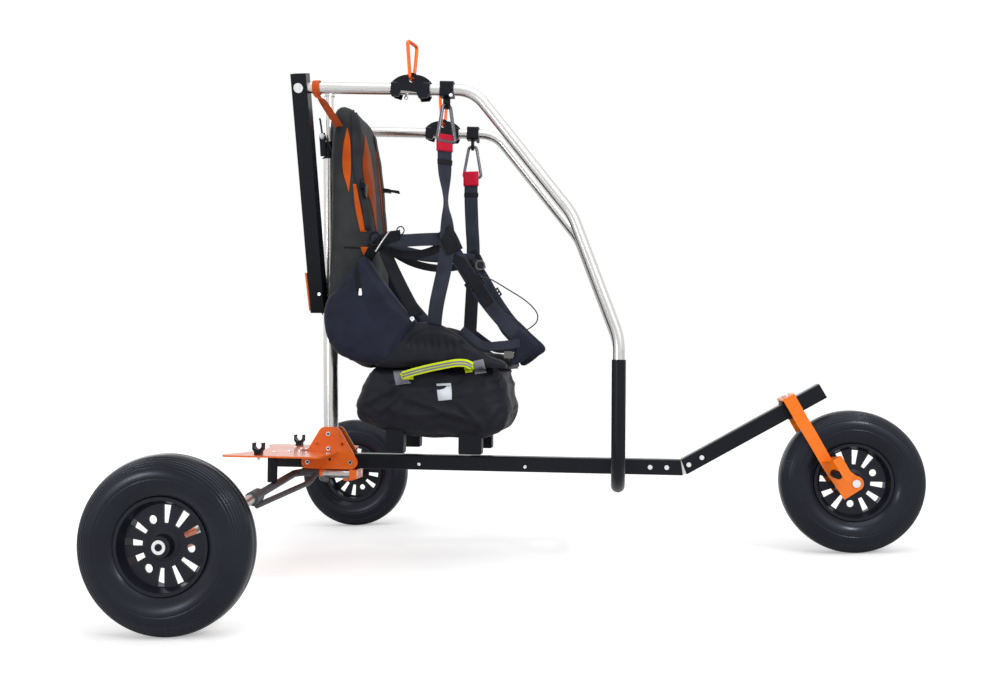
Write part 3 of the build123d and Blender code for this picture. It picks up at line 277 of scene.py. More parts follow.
finishes = {
    black_coat: ("keel", "boom", "arm_left", "arm_right", "lower_hoop", "hang_brackets"),
    orange_coat: ("fan_plates", "deck_plate", "hub_carriers", "arm_gusset", "pivot_blocks"),
    fork_coat: ("fork",),
    gunmetal_coat: ("swing_arm_left", "swing_arm_right"),
    polished_tube: ("top_tube_left", "top_tube_right", "mast", "mast_head"),
    turned_alloy: ("boom_joiner", "axle_tubes", "pivot_pins"),
    zinc_bolt: ("frame_bolts", "stub_axles", "king_pin", "front_axle"),
    link_steel: ("riser_links",),
    anodised_orange: ("wing_links",),
    moulded_black: ("mast_collar", "riser_clamps", "saddles"),
    rim_black: ("rear_rim_left", "rear_rim_right", "front_rim"),
    rubber_black: ("dampers", "foot_pegs"),
}
for finish, names in finishes.items():
    for name in names:
        for place in nodes[name].material_slots:
            place.material = finish


# Tyres: smooth black pneumatic tyres with fine rings moulded at each shoulder and a rim guard
# over the bead. The section is turned once and used for all three wheels.
tyre_radius = 0.203
turn_steps = 160
shoulder_rings = (0.152, 0.1765, 0.183, 0.1885, 0.193, 0.197)
ring_depth = 0.002
ring_half_width = 0.0007


def arc_between(start, middle, end, steps):
    """Points on the circle through three points, the last one left out."""
    (ax, ay), (bx, by), (cx, cy) = start, middle, end
    d = 2 * (ax * (by - cy) + bx * (cy - ay) + cx * (ay - by))
    a, b, c = ax**2 + ay**2, bx**2 + by**2, cx**2 + cy**2
    ox = (a * (by - cy) + b * (cy - ay) + c * (ay - by)) / d
    oy = (a * (cx - bx) + b * (ax - cx) + c * (bx - ax)) / d
    radius = Vector((ax - ox, ay - oy)).length
    first, mid, last = (atan2(y - oy, x - ox) for x, y in (start, middle, end))
    sweep = (last - first) % tau
    if (mid - first) % tau > sweep:
        sweep -= tau
    return [(ox + radius * cos(first + sweep * i / steps), oy + radius * sin(first + sweep * i / steps))
            for i in range(steps)]


def mesh_piece(name, points, faces, material, smooth=True):
    mesh = bpy.data.meshes.new(name)
    mesh.from_pydata([tuple(p) for p in points], [], faces)
    mesh.materials.append(material)
    mesh.validate()
    shape = bmesh.new()
    shape.from_mesh(mesh)
    bmesh.ops.recalc_face_normals(shape, faces=shape.faces)
    shape.to_mesh(mesh)
    shape.free()
    mesh.polygons.foreach_set("use_smooth", [smooth] * len(mesh.polygons))
    piece = bpy.data.objects.new(name, mesh)
    scene.collection.objects.link(piece)
    return piece


def tyre_section():
    """The tyre's section from bead to bead, as (distance from the middle, radius)."""
    side = [(0.031, 0.1), (0.031, 0.1095)]
    side += arc_between((0.034, 0.1115), (0.051, 0.15), (0.042, 0.186), 54)[1:]
    side += arc_between((0.042, 0.186), (0.026, 0.1995), (0, tyre_radius), 30)
    grooved = []
    for across, radius in side:
        for ring in shoulder_rings:
            if abs(radius - ring) < ring_half_width:
                across -= ring_depth
        grooved.append((across, radius))
    return grooved + [(0, tyre_radius)] + [(-across, radius) for across, radius in reversed(grooved)]


def toned(tree, face, pattern, dark, light, low=0.0, high=1.0):
    """Runs the colour from dark to light as a pattern goes from low to high."""
    tones = add_node(tree, "ValToRGB", feeds={"Fac": pattern})
    ends = tones.color_ramp.elements
    ends[0].position, ends[1].position = low, high
    ends[0].color, ends[1].color = dark, light
    tree.links.new(tones.outputs["Color"], face.inputs["Base Color"])


def tyre_rubber():
    material, tree, face = shader("tyre_rubber", {
        "Specular IOR Level": 0.3, "Specular Tint": (0.8, 0.86, 1, 1)})
    where, grain = noise_bump(tree, face, 260, 0.0002, 0.2)
    worn(tree, face, where, 0.2, 0.36, 6)
    dust = add_node(tree, "TexNoise", {"Scale": 7, "Detail": 6}, {"Vector": where.outputs["Object"]})
    toned(tree, face, dust.outputs["Fac"], linear(14, 15, 22), linear(26, 28, 38), 0.35, 0.75)
    return material


rubber = tyre_rubber()
for node, body in (("rear_tyre_right", "rear_wheel_right"), ("rear_tyre_left", "rear_wheel_left"),
                   ("front_tyre", "front_wheel")):
    low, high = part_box(node)
    hub = (low + high) / 2
    section = tyre_section()
    count = len(section)
    points, faces = [], []
    for step in range(turn_steps):
        turn = tau * step / turn_steps
        here, there = step * count, (step + 1) % turn_steps * count
        for i, (across, radius) in enumerate(section):
            j = (i + 1) % count
            points.append(hub + Vector((radius * cos(turn), across, radius * sin(turn))))
            faces.append((here + i, here + j, there + j, there + i))
    tyre = mesh_piece(node + "_rubber", points, faces, rubber)
    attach(tyre, body)
    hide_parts(node)


# Harness back: a tall padded shell of charcoal cloth over foam, two shoulder humps at the top
# with a dip for the neck. It is cut as a side outline and sewn across, then filled.
def between(p0, p1, p2, p3, t):
    """The point a share t of the way from p1 to p2, on a smooth line through all four."""
    return 0.5 * (2 * p1 + (p2 - p0) * t + (2 * p0 - 5 * p1 + 4 * p2 - p3) * t**2
                  + (3 * p1 - p0 - 3 * p2 + p3) * t**3)


def closed_curve(points, steps=5):
    """A smooth closed line through points, a few steps to each."""
    ring = []
    count = len(points)
    for i in range(count):
        four = [Vector(points[(i + k) % count]) for k in (-1, 0, 1, 2)]
        ring += [between(*four, step / steps) for step in range(steps)]
    return ring


def row_faces(rows, count):
    """Faces between rows of count points each, and a cap at each end."""
    faces = []
    for row in range(rows - 1):
        for i in range(count):
            j = (i + 1) % count
            faces.append((row * count + i, row * count + j, (row + 1) * count + j, (row + 1) * count + i))
    return faces + [tuple(range(count)), tuple(reversed(range((rows - 1) * count, rows * count)))]


def sewn_shell(name, outline, stations, material, squeeze=None):
    """A closed form from a side outline: each station across it draws the outline in a little."""
    ring = closed_curve(outline)
    area = sum(a.x * b.y - b.x * a.y for a, b in zip(ring, ring[1:] + ring[:1]))
    hand = 1 if area > 0 else -1
    inward = []
    for i, point in enumerate(ring):
        run = ring[(i + 1) % len(ring)] - ring[i - 1]
        inward.append(Vector((-run.y, run.x)).normalized() * hand)
    points = []
    for y, inset in stations:
        for point, way in zip(ring, inward):
            p = point + way * inset
            u, w = squeeze(p.x, p.y, y) if squeeze else (p.x, p.y)
            points.append(at(u, w, y))
    return mesh_piece(name, points, row_faces(len(stations), len(ring)), material)


def rounded_stations(inner, outer, edge, steps=4):
    """Stations from inner to outer whose outline draws in by a quarter round at both ends."""
    stations = []
    for i in range(steps + 1):
        turn = pi / 2 * i / steps
        stations.append((inner + edge * (1 - cos(turn)), edge * (1 - sin(turn))))
    return stations + [(inner + outer - y, inset) for y, inset in reversed(stations)]


blow_steps = 20


def filled(piece, voxel, pressure, reach):
    """Stuffs a shell: an even skin, then cloth blown out from within, held to reach of its cut."""
    skin = piece.modifiers.new("skin", "REMESH")
    skin.mode = "VOXEL"
    skin.voxel_size = voxel
    skin.use_smooth_shade = True
    settle(piece)
    cut = [v.co.copy() for v in piece.data.vertices]
    cloth = piece.modifiers.new("cloth", "CLOTH")
    cloth.settings.quality = 4
    cloth.settings.use_pressure = True
    cloth.settings.uniform_pressure_force = pressure
    cloth.settings.effector_weights.gravity = 0
    cloth.collision_settings.use_collision = False
    for step in range(blow_steps):
        scene.frame_set(step + 1)
    seen_now = piece.evaluated_get(bpy.context.evaluated_depsgraph_get())
    blown = [v.co.copy() for v in seen_now.data.vertices]
    piece.modifiers.remove(cloth)
    scene.frame_set(1)
    for vertex, before, after in zip(piece.data.vertices, cut, blown):
        move = after - before
        vertex.co = before + (move if move.length < reach else move.normalized() * reach)


def settle(piece):
    """Makes what the modifiers show the piece's own mesh."""
    shown = bpy.data.meshes.new_from_object(piece.evaluated_get(bpy.context.evaluated_depsgraph_get()))
    old = piece.data
    piece.modifiers.clear()
    piece.data = shown
    bpy.data.meshes.remove(old)


def creased(piece, amount, size, seed, stretch=(1, 1, 1)):
    """Pushes soft folds into cloth: ridges of noise along the surface's own direction."""
    normals = [v.normal.copy() for v in piece.data.vertices]
    for vertex, normal in zip(piece.data.vertices, normals):
        spot = Vector([c * s / size for c, s in zip(vertex.co, stretch)])
        spot += Vector((seed, seed * 2, seed * 3))
        ridge = 1 - 2 * abs(noise.noise(spot))
        broad = noise.noise(spot * 0.5)
        vertex.co += normal * amount * (0.6 * (ridge - 0.6) + 0.5 * broad)
    piece.data.update()


def dressed(piece, node):
    """Sets a padded piece on the frame in place of its plain solid."""
    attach(piece, "frame")
    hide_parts(node)


def woven(name, colour, dark, thread=2600, roughness=0.8, sheen=0.25):
    """Cloth or webbing: two tones that drift, and threads that cross three ways."""
    material, tree, face = shader(name, {
        "Sheen Weight": sheen, "Sheen Roughness": 0.5, "Specular IOR Level": 0.16})
    where = add_node(tree, "TexCoord")
    tones = add_node(tree, "TexNoise", {"Scale": 16, "Detail": 5}, {"Vector": where.outputs["Object"]})
    toned(tree, face, tones.outputs["Fac"], linear(*dark), linear(*colour), 0.3, 0.72)
    weave = None
    for direction in ("X", "Y", "Z"):
        wave = add_node(tree, "TexWave", {"Scale": thread / 20}, {"Vector": where.outputs["Object"]})
        wave.bands_direction = direction
        threads = wave.outputs["Fac"]
        if weave:
            crossing = add_node(tree, "Math", feeds={0: weave, 1: threads})
            crossing.operation = "MULTIPLY"
            threads = crossing.outputs[0]
        weave = threads
    raised(tree, face, weave, 0.3, 0.0004)
    worn(tree, face, where, roughness - 0.08, min(1, roughness + 0.08), 22)
    return material


charcoal_cloth = woven("charcoal_cloth", (57, 59, 61), (44, 46, 49), sheen=0.05)

back_outline = (
    (0.300, 0.284), (0.240, 0.300), (0.196, 0.326), (0.168, 0.400), (0.160, 0.520), (0.163, 0.660),
    (0.165, 0.800), (0.163, 0.900), (0.166, 0.990), (0.170, 1.046), (0.188, 1.064), (0.212, 1.060),
    (0.232, 1.042), (0.246, 0.985), (0.260, 0.920), (0.272, 0.810), (0.284, 0.690), (0.293, 0.560),
    (0.300, 0.420),
)
shoulder_at = 0.088
shoulder_starts, shoulder_rise = 0.86, 0.18
neck_dip = 0.045
spine_dip = 0.014
spine_half_width = 0.075
front_starts, front_depth = 0.2, 0.05


def shoulders(u, w, y):
    """Lowers the top between the shoulders and beyond them, and hollows the front down the middle."""
    high = max(0, (w - shoulder_starts) / shoulder_rise)
    off = (abs(y) - shoulder_at) / shoulder_at
    forward = max(0, min(1, (u - front_starts) / front_depth))
    hollow = spine_dip * max(0, 1 - (y / spine_half_width) ** 2) * forward
    return u - hollow, w - neck_dip * high * min(1, off * off)


back = sewn_shell(
    "harness_back_pad", back_outline, rounded_stations(-0.128, 0.128, 0.026), charcoal_cloth, shoulders)
filled(back, 0.006, 4, 0.005)
creased(back, 0.0025, 0.09, 3, (1, 1, 0.4))
dressed(back, "harness_back")


# Panels and shoulder straps of the back: leaf-shaped panels of orange stretch cloth let into the
# charcoal, and a charcoal strap sewn down over each shoulder to a plastic slide buckle.
sides = ((-1, "right"), (1, "left"))
orange_cloth = woven("orange_cloth", (212, 98, 28), (186, 78, 18), sheen=0.05)
rust_cloth = woven("rust_cloth", (160, 70, 22), (128, 50, 14), sheen=0.05)


def open_curve(points, steps):
    """A smooth line through points, its ends straight."""
    line = []
    ends = [points[0] * 2 - points[1], *points, points[-1] * 2 - points[-2]]
    for i in range(1, len(ends) - 2):
        line += [between(*ends[i - 1 : i + 3], step / steps) for step in range(steps)]
    return line + [points[-1]]


def skin_of(*pieces):
    """The finished surface of pieces together, to lay other pieces on."""
    points, faces = [], []
    for piece in pieces:
        first = len(points)
        points += [v.co for v in piece.data.vertices]
        faces += [[first + i for i in p.vertices] for p in piece.data.polygons]
    return BVHTree.FromPolygons(points, faces)


def on_skin(x, y, skin, lift):
    """The place on a finished piece that the camera sees at a pixel of the photograph."""
    across, down = (x - photo_middle[0]) / focal_pixels, (photo_middle[1] - y) / focal_pixels
    way = (aim.to_3x3() @ Vector((across, down, -1))).normalized()
    start = Vector(camera_place)
    spot, normal, face, reach = skin.ray_cast(start, way)
    if spot is None:
        middle = start - way * (start.y / way.y)
        spot, normal, face, reach = skin.find_nearest(middle)
    return spot + normal * lift


def on_front(w, y, skin, lift):
    """The place on a finished piece that is met from straight ahead."""
    spot, normal, face, reach = skin.ray_cast(at(0.6, w, y), -along_keel)
    return spot + normal * lift


def laid(name, left, right, skin, material, slot, lift=0.0016, thickness=0.0018, columns=8, steps=4,
         other_side=False, find=on_skin):
    """Cloth or tape sewn flat on a finished piece, between two edges of matching points."""
    edges = [open_curve([Vector(point) for point in edge], steps) for edge in (left, right)]
    points, faces = [], []
    for a, b in zip(*edges):
        points += [find(*a.lerp(b, i / columns), skin, lift) for i in range(columns + 1)]
    if other_side:
        for i, point in enumerate(points):
            spot, normal, face, reach = skin.find_nearest(Vector((point.x, -point.y, point.z)))
            points[i] = spot + normal * lift
    row = columns + 1
    for first in range(0, row * (len(edges[0]) - 1), row):
        faces += [(first + j, first + j + 1, first + row + j + 1, first + row + j) for j in range(columns)]
    piece = mesh_piece(name, points, faces, material)
    body = piece.modifiers.new("thickness", "SOLIDIFY")
    body.thickness = thickness
    body.offset = 0
    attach(piece, "frame")


back_skin = skin_of(back)
leaf_panels = {
    "side_leaf": (
        ((347.2, 128), (344.6, 139), (343.0, 150), (342.3, 162), (343.6, 174), (346.6, 184), (348.7, 192)),
        ((347.7, 128), (350.0, 139), (350.9, 150), (351.2, 162), (350.8, 174), (350.0, 184), (349.1, 192))),
    "side_strip": (
        ((353.2, 184), (354.0, 196), (355.4, 208), (358.0, 221), (360.6, 232)),
        ((356.4, 184), (358.6, 196), (361.0, 208), (363.4, 221), (366.4, 232))),
    "side_gore": (
        ((360.6, 247), (362.6, 253), (366.6, 261)),
        ((369.2, 247), (369.0, 253), (368.2, 261))),
}
for name, (left, right) in leaf_panels.items():
    laid(name + "_right", left, right, back_skin, orange_cloth, "charcoal_fabric")
    laid(name + "_left", left, right, back_skin, orange_cloth, "charcoal_fabric", other_side=True)

front_leaf = (
    (0.980, 0.074, 0.068), (0.945, 0.096, 0.054), (0.900, 0.111, 0.043), (0.850, 0.115, 0.036),
    (0.800, 0.108, 0.037), (0.745, 0.084, 0.045), (0.690, 0.060, 0.056),
)
for hand, name in sides:
    outer = [(w, hand * far) for w, far, near in front_leaf]
    inner = [(w, hand * near) for w, far, near in front_leaf]
    laid("front_leaf_" + name, outer, inner, back_skin, rust_cloth, "charcoal_fabric", find=on_front)

charcoal_web = woven("charcoal_webbing", (50, 51, 56), (38, 39, 44), 3600, 0.7, 0.04)
strap_lift, strap_thickness, strap_half_width = 0.0035, 0.003, 0.024
laid("near_shoulder_strap",
     ((350.5, 112), (351.4, 128), (352.2, 146), (353.0, 164), (355.6, 180), (359.6, 196), (361.8, 208),
      (364.4, 230)),
     ((357.0, 108), (359.4, 126), (360.6, 146), (361.0, 164), (362.6, 180), (365.6, 196), (368.0, 208),
      (370.6, 230)),
     back_skin, charcoal_web, "charcoal_fabric", strap_lift, strap_thickness)
far_strap = ((1.010, 0.086), (0.960, 0.084), (0.900, 0.080), (0.830, 0.078), (0.760, 0.078), (0.690, 0.082))
laid("far_shoulder_strap", [(w, y - strap_half_width) for w, y in far_strap],
     [(w, y + strap_half_width) for w, y in far_strap], back_skin, charcoal_web, "charcoal_fabric",
     strap_lift, strap_thickness, find=on_front)


moulded_edge = 0.0008


def moulding(name, outline, place, along, up, thickness, material, slot):
    """A flat piece cut to an outline in the plane of two directions, its edges eased."""
    along = along.normalized()
    out = along.cross(up).normalized()
    up = out.cross(along)
    count = len(outline)
    points = []
    for side in (-1, 1):
        points += [place + along * a + up * b + out * (side * thickness / 2) for a, b in outline]
    faces = [tuple(reversed(range(count))), tuple(range(count, 2 * count))]
    faces += [(i, (i + 1) % count, count + (i + 1) % count, count + i) for i in range(count)]
    piece = mesh_piece(name, points, faces, material, False)
    eased = piece.modifiers.new("eased", "BEVEL")
    eased.width = moulded_edge
    eased.segments = 2
    eased.limit_method = "ANGLE"
    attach(piece, "frame")


def wire(name, points, thickness, material, slot, closed=False):
    """A bent rod through points: buckle bars, rings and small hooks."""
    rod(name, points, thickness, material, closed=closed)


slide_outline = (
    (-0.016, -0.013), (0.012, -0.013), (0.018, -0.008), (0.018, 0.008), (0.012, 0.013), (-0.016, 0.013),
    (-0.020, 0.006), (-0.020, -0.006),
)
chest_buckle_spot = on_skin(361.5, 184.5, back_skin, 0.007)
moulding("near_slide_buckle", slide_outline, chest_buckle_spot, at(0.010, -0.012, -0.03) - at(0, 0, 0),
         off_keel, 0.010, *plastic)
tongue_spot = chest_buckle_spot + along_keel * 0.010 - off_keel * 0.020
moulding("near_slide_tongue", slide_outline, tongue_spot, off_keel, to_left, 0.006, *plastic)
far_buckle_spot = on_front(0.838, 0.080, back_skin, 0.010)
moulding("far_slide_buckle", slide_outline, far_buckle_spot, along_keel - off_keel * 0.15, to_left, 0.011,
         *plastic)


# Harness sides: navy cloth panels that wrap the hips, each cut to a rounded tail below and sewn to
# the back's edge, over black covers that close the seat's sides and are quilted where they bend.
navy_cloth = woven("navy_cloth", (33, 36, 54), (21, 24, 38), roughness=0.6, sheen=0.02)
black_cloth = woven("black_cloth", (29, 30, 38), (19, 20, 27), roughness=0.55, sheen=0.02)
side_outline = (
    (0.330, 0.2845), (0.300, 0.286), (0.252, 0.297), (0.204, 0.322), (0.172, 0.368), (0.160, 0.430),
    (0.170, 0.478), (0.194, 0.508), (0.222, 0.546), (0.248, 0.580), (0.272, 0.606), (0.284, 0.608),
    (0.304, 0.588), (0.345, 0.536), (0.398, 0.470), (0.432, 0.426), (0.440, 0.408), (0.420, 0.372),
    (0.396, 0.336), (0.372, 0.300), (0.360, 0.2845),
)
seat_cover_outline = (
    (0.330, 0.2845), (0.345, 0.330), (0.385, 0.380), (0.427, 0.412), (0.466, 0.416), (0.511, 0.408),
    (0.556, 0.386), (0.600, 0.352), (0.645, 0.326), (0.690, 0.304), (0.700, 0.290), (0.690, 0.2845),
    (0.520, 0.2845),
)
cover_face_y = 0.158
pleat_w, pleat_half, pleat_pitch, pleat_depth = 0.350, 0.026, 0.021, 0.010
seam_w, seam_depth = 0.345, 0.006


def along_and_off(point):
    """How far a point stands along the keel and square to it."""
    local = point - at(0, 0, 0)
    return local.dot(along_keel), local.dot(off_keel)


for hand, name in sides:
    stations = [(hand * y, inset) for y, inset in rounded_stations(0.1335, 0.186, 0.016)]
    panel = sewn_shell("harness_side_" + name, side_outline, stations, navy_cloth)
    filled(panel, 0.006, 4, 0.007)
    creased(panel, 0.006, 0.12, 7 + hand, (1, 1, 0.6))
    dressed(panel, "harness_sides")
    cover_stations = [(hand * y, inset) for y, inset in rounded_stations(0.1335, 0.1815, 0.014)]
    cover = sewn_shell("seat_cover_" + name, seat_cover_outline, cover_stations, black_cloth)
    filled(cover, 0.005, 4, 0.006)
    for vertex in cover.data.vertices:
        u, w = along_and_off(vertex.co)
        band = max(0, 1 - abs((w - pleat_w) / pleat_half))
        if 0.42 < u < 0.57 and abs(vertex.co.y) > cover_face_y:
            vertex.co.y -= hand * pleat_depth * band * (0.5 + 0.5 * cos(u * tau / pleat_pitch))
        if abs(vertex.co.y) > cover_face_y:
            arc = (((u - 0.495) / 0.078) ** 2 + ((w - seam_w) / 0.048) ** 2) ** 0.5
            vertex.co.y -= hand * seam_depth * max(0, 1 - abs(arc - 1) / 0.11) * (w > seam_w)
    creased(cover, 0.004, 0.05, 15 + hand)
    dressed(cover, "harness_sides")
    if hand < 0:
        side_skin = skin_of(panel)
        near_pieces = [panel, cover]

zip_tape = woven("zip_tape", (17, 18, 24), (12, 13, 18), 3600, 0.6, 0.03)
black_web = woven("black_webbing", (25, 26, 33), (16, 17, 23), 3600, 0.7, 0.04)
laid("pocket_zip", ((354.6, 262), (355.0, 276), (357.0, 292)), ((357.8, 262), (359.0, 276), (362.4, 292)),
     side_skin, zip_tape, "dark_fabric")
laid("belt_seam", ((344.5, 246.6), (355, 246.8), (366, 247.6)), ((344.5, 248.2), (355, 248.4), (366, 249.2)),
     back_skin, zip_tape, "dark_fabric", 0.001, 0.0015, 2)
laid("side_front_piping", ((372.5, 262), (383, 277), (397, 297), (409, 313)),
     ((374.0, 261), (385, 276), (399, 296), (411, 312)), side_skin, black_web, "dark_fabric", 0.001, 0.003, 2)
puller = (
    (-0.0035, 0.010), (0.0035, 0.010), (0.0055, -0.006), (0.004, -0.011), (-0.004, -0.011), (-0.0055, -0.006),
)
moulding("zip_puller", puller, on_skin(360.6, 292, side_skin, 0.003), along_keel, off_keel, 0.0022, *zinc)


def turned_piece(name, place, way, profile, material, slot, steps=28):
    """A turned piece: its profile as (radius, height) is spun about way through place."""
    way = way.normalized()
    across = way.orthogonal().normalized()
    other = way.cross(across)
    points = []
    for radius, height in profile:
        for i in range(steps):
            turn = tau * i / steps
            points.append(place + way * height + (across * cos(turn) + other * sin(turn)) * radius)
    piece = mesh_piece(name, points, row_faces(len(profile), steps), material)
    piece.data.polygons.foreach_set("use_smooth", [len(p.vertices) == 4 for p in piece.data.polygons])
    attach(piece, "frame")


press_stud = (
    (0.0075, -0.001), (0.0075, 0.0012), (0.0062, 0.0024), (0.0035, 0.0026), (0.003, 0.0016),
    (0.0012, 0.0016),
)
turned_piece("press_stud", on_skin(411.8, 319.3, side_skin, 0.0008), -to_left, press_stud, *zinc)


# Seat: a firm cushion between the side panels, its front edge rolled.
seat_outline = (
    (0.306, 0.286), (0.306, 0.330), (0.420, 0.332), (0.560, 0.328), (0.680, 0.322), (0.706, 0.306),
    (0.700, 0.287), (0.560, 0.285), (0.420, 0.285),
)
seat = sewn_shell("harness_seat_pad", seat_outline, rounded_stations(-0.127, 0.127, 0.014), black_cloth)
filled(seat, 0.006, 4, 0.004)
dressed(seat, "harness_seat")


# Bag under the seat: a loose holdall of black cloth that sags on four skid blocks, its ends
# puckered where the drawcord gathers them.
bag_outline = (
    (0.330, 0.2830), (0.304, 0.279), (0.284, 0.246), (0.266, 0.208), (0.255, 0.168), (0.262, 0.136),
    (0.300, 0.116), (0.350, 0.104), (0.400, 0.094), (0.474, 0.088), (0.560, 0.088), (0.640, 0.090),
    (0.682, 0.104), (0.704, 0.134), (0.702, 0.172), (0.688, 0.222), (0.690, 0.262), (0.686, 0.281),
    (0.670, 0.2830), (0.500, 0.2830),
)
bag = sewn_shell("under_seat_bag_cloth", bag_outline, rounded_stations(-0.174, 0.174, 0.030, 6), black_cloth)
filled(bag, 0.006, 4, 0.008)
# Each fold: its middle, half its length, its lean and its depth.
bag_folds = (
    (0.380, 0.236, 0.075, 0.95, 0.0085), (0.330, 0.200, 0.050, 0.55, 0.0075),
    (0.360, 0.178, 0.060, 0.75, 0.0070), (0.520, 0.160, 0.150, -0.32, 0.0080),
    (0.470, 0.150, 0.090, 0.10, 0.0055), (0.600, 0.150, 0.070, -0.75, 0.0070),
    (0.650, 0.140, 0.060, 0.85, 0.0065), (0.560, 0.235, 0.120, 0.14, 0.0055),
    (0.300, 0.150, 0.040, -0.9, 0.0060),
)
crest_width, trough_width, trough_below = 0.006, 0.008, 0.011
for vertex, normal in zip(bag.data.vertices, [v.normal.copy() for v in bag.data.vertices]):
    u, w = along_and_off(vertex.co)
    for fold_u, fold_w, reach, lean, depth in bag_folds:
        along = (u - fold_u) * cos(lean) + (w - fold_w) * sin(lean)
        across = -(u - fold_u) * sin(lean) + (w - fold_w) * cos(lean)
        if abs(along) < reach:
            fade = cos(pi / 2 * along / reach)
            crest = 2 ** (-(across / crest_width) ** 2)
            trough = 2 ** (-((across + trough_below) / trough_width) ** 2)
            vertex.co += normal * depth * fade * (crest - 0.7 * trough)
creased(bag, 0.0055, 0.085, 12, (1, 1, 1.6))
creased(bag, 0.003, 0.035, 21, (0.6, 1, 2.2))
dressed(bag, "under_seat_bag")
bag_skin = skin_of(bag, *near_pieces)

skid_low, skid_high = 0.036, 0.108
skid_half, skid_chamfer, skid_y = 0.022, 0.002, 0.125
for number, (start, end) in enumerate(((0.346, 0.399), (0.559, 0.626))):
    for hand, name in sides:
        corners = []
        for level, grow in ((skid_low, -skid_chamfer), (skid_low + 0.004, 0), (skid_high, 0)):
            for u, y in ((start - grow, -skid_half - grow), (end + grow, -skid_half - grow),
                         (end + grow, skid_half + grow), (start - grow, skid_half + grow)):
                corners.append(at(u, level, hand * skid_y + y))
        faces = [(3, 2, 1, 0), (8, 9, 10, 11)]
        for row in (0, 4):
            faces += [(row + i, row + (i + 1) % 4, row + 4 + (i + 1) % 4, row + 4 + i) for i in range(4)]
        skid = mesh_piece(f"bag_skid_{number}_{name}", corners, faces, moulded_black, False)
        bevel = skid.modifiers.new("edge", "BEVEL")
        bevel.width = 0.0025
        bevel.segments = 3
        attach(skid, "frame")
        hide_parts("under_seat_bag")


# Webbing: flat woven tape for risers, waist, legs and shoulders, doubled and stitched where it
# meets a link or a buckle. Each run is laid out through the points it touches.
def tape(name, places, width, thickness, material, replaced=(), steps=8):
    """Webbing through places, each (point, way its flat face looks)."""
    line = open_curve([p for p, face in places], steps)
    looks = open_curve([Vector(face) for p, face in places], steps)
    half = [(-0.5, -0.3), (-0.5, 0.3), (-0.46, 0.5), (-0.25, 0.5), (0.25, 0.5), (0.46, 0.5)]
    section = half + [(-a, -b) for a, b in half]
    points = []
    for i, spot in enumerate(line):
        run = (line[min(i + 1, len(line) - 1)] - line[max(i - 1, 0)]).normalized()
        face = (looks[i] - run * looks[i].dot(run)).normalized()
        edge = run.cross(face)
        points += [spot + edge * width * a + face * thickness * b for a, b in section]
    piece = mesh_piece(name, points, row_faces(len(line), len(section)), material)
    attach(piece, "frame")
    if replaced:
        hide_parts(*replaced)


def side_tape(name, hand, run, width, thickness, material, replaced=("harness_straps",)):
    """Webbing on one side, its run laid out as (u, w, y, face) for the left and mirrored by hand."""
    places = [(at(u, w, hand * y), (face[0], hand * face[1], face[2])) for u, w, y, face in run]
    tape(name, places, width, thickness, material, replaced)


dark_web = woven("dark_webbing", (52, 55, 68), (37, 40, 52), 3600, 0.7, 0.05)
red_web = woven("red_webbing", (205, 24, 56), (176, 14, 40), 3600, 0.65, 0.05)
tube_y = 0.261
outward = (0, 1, 0)
sleeve_faces = {"right": [(0.68, 0.73, 0)] * 2, "left": [outward] * 2}
riser_faces = {
    "right": [(0.6, 0.8, 0), (0.7, 0.7, 0), (1, 0.1, 0), (0.8, 0.6, 0), (0.2, 1, 0)],
    "left": [outward, outward, (0.1, 1, 0), (0.1, 1, 0), outward],
}
keeper_faces = {"right": [(0.65, 0.75, 0), (0.68, 0.72, 0)], "left": [outward] * 2}
leg_strap_runs = {
    "right": ((0.528, 0.560), (0.503, 0.470), (0.492, 0.420), (0.489, 0.396)),
    "left": ((0.541, 0.560), (0.542, 0.470), (0.543, 0.402), (0.544, 0.372)),
}
lock_bar_gap, lock_half_width, lock_half_length, lock_rod = 0.013, 0.024, 0.015, 0.0055

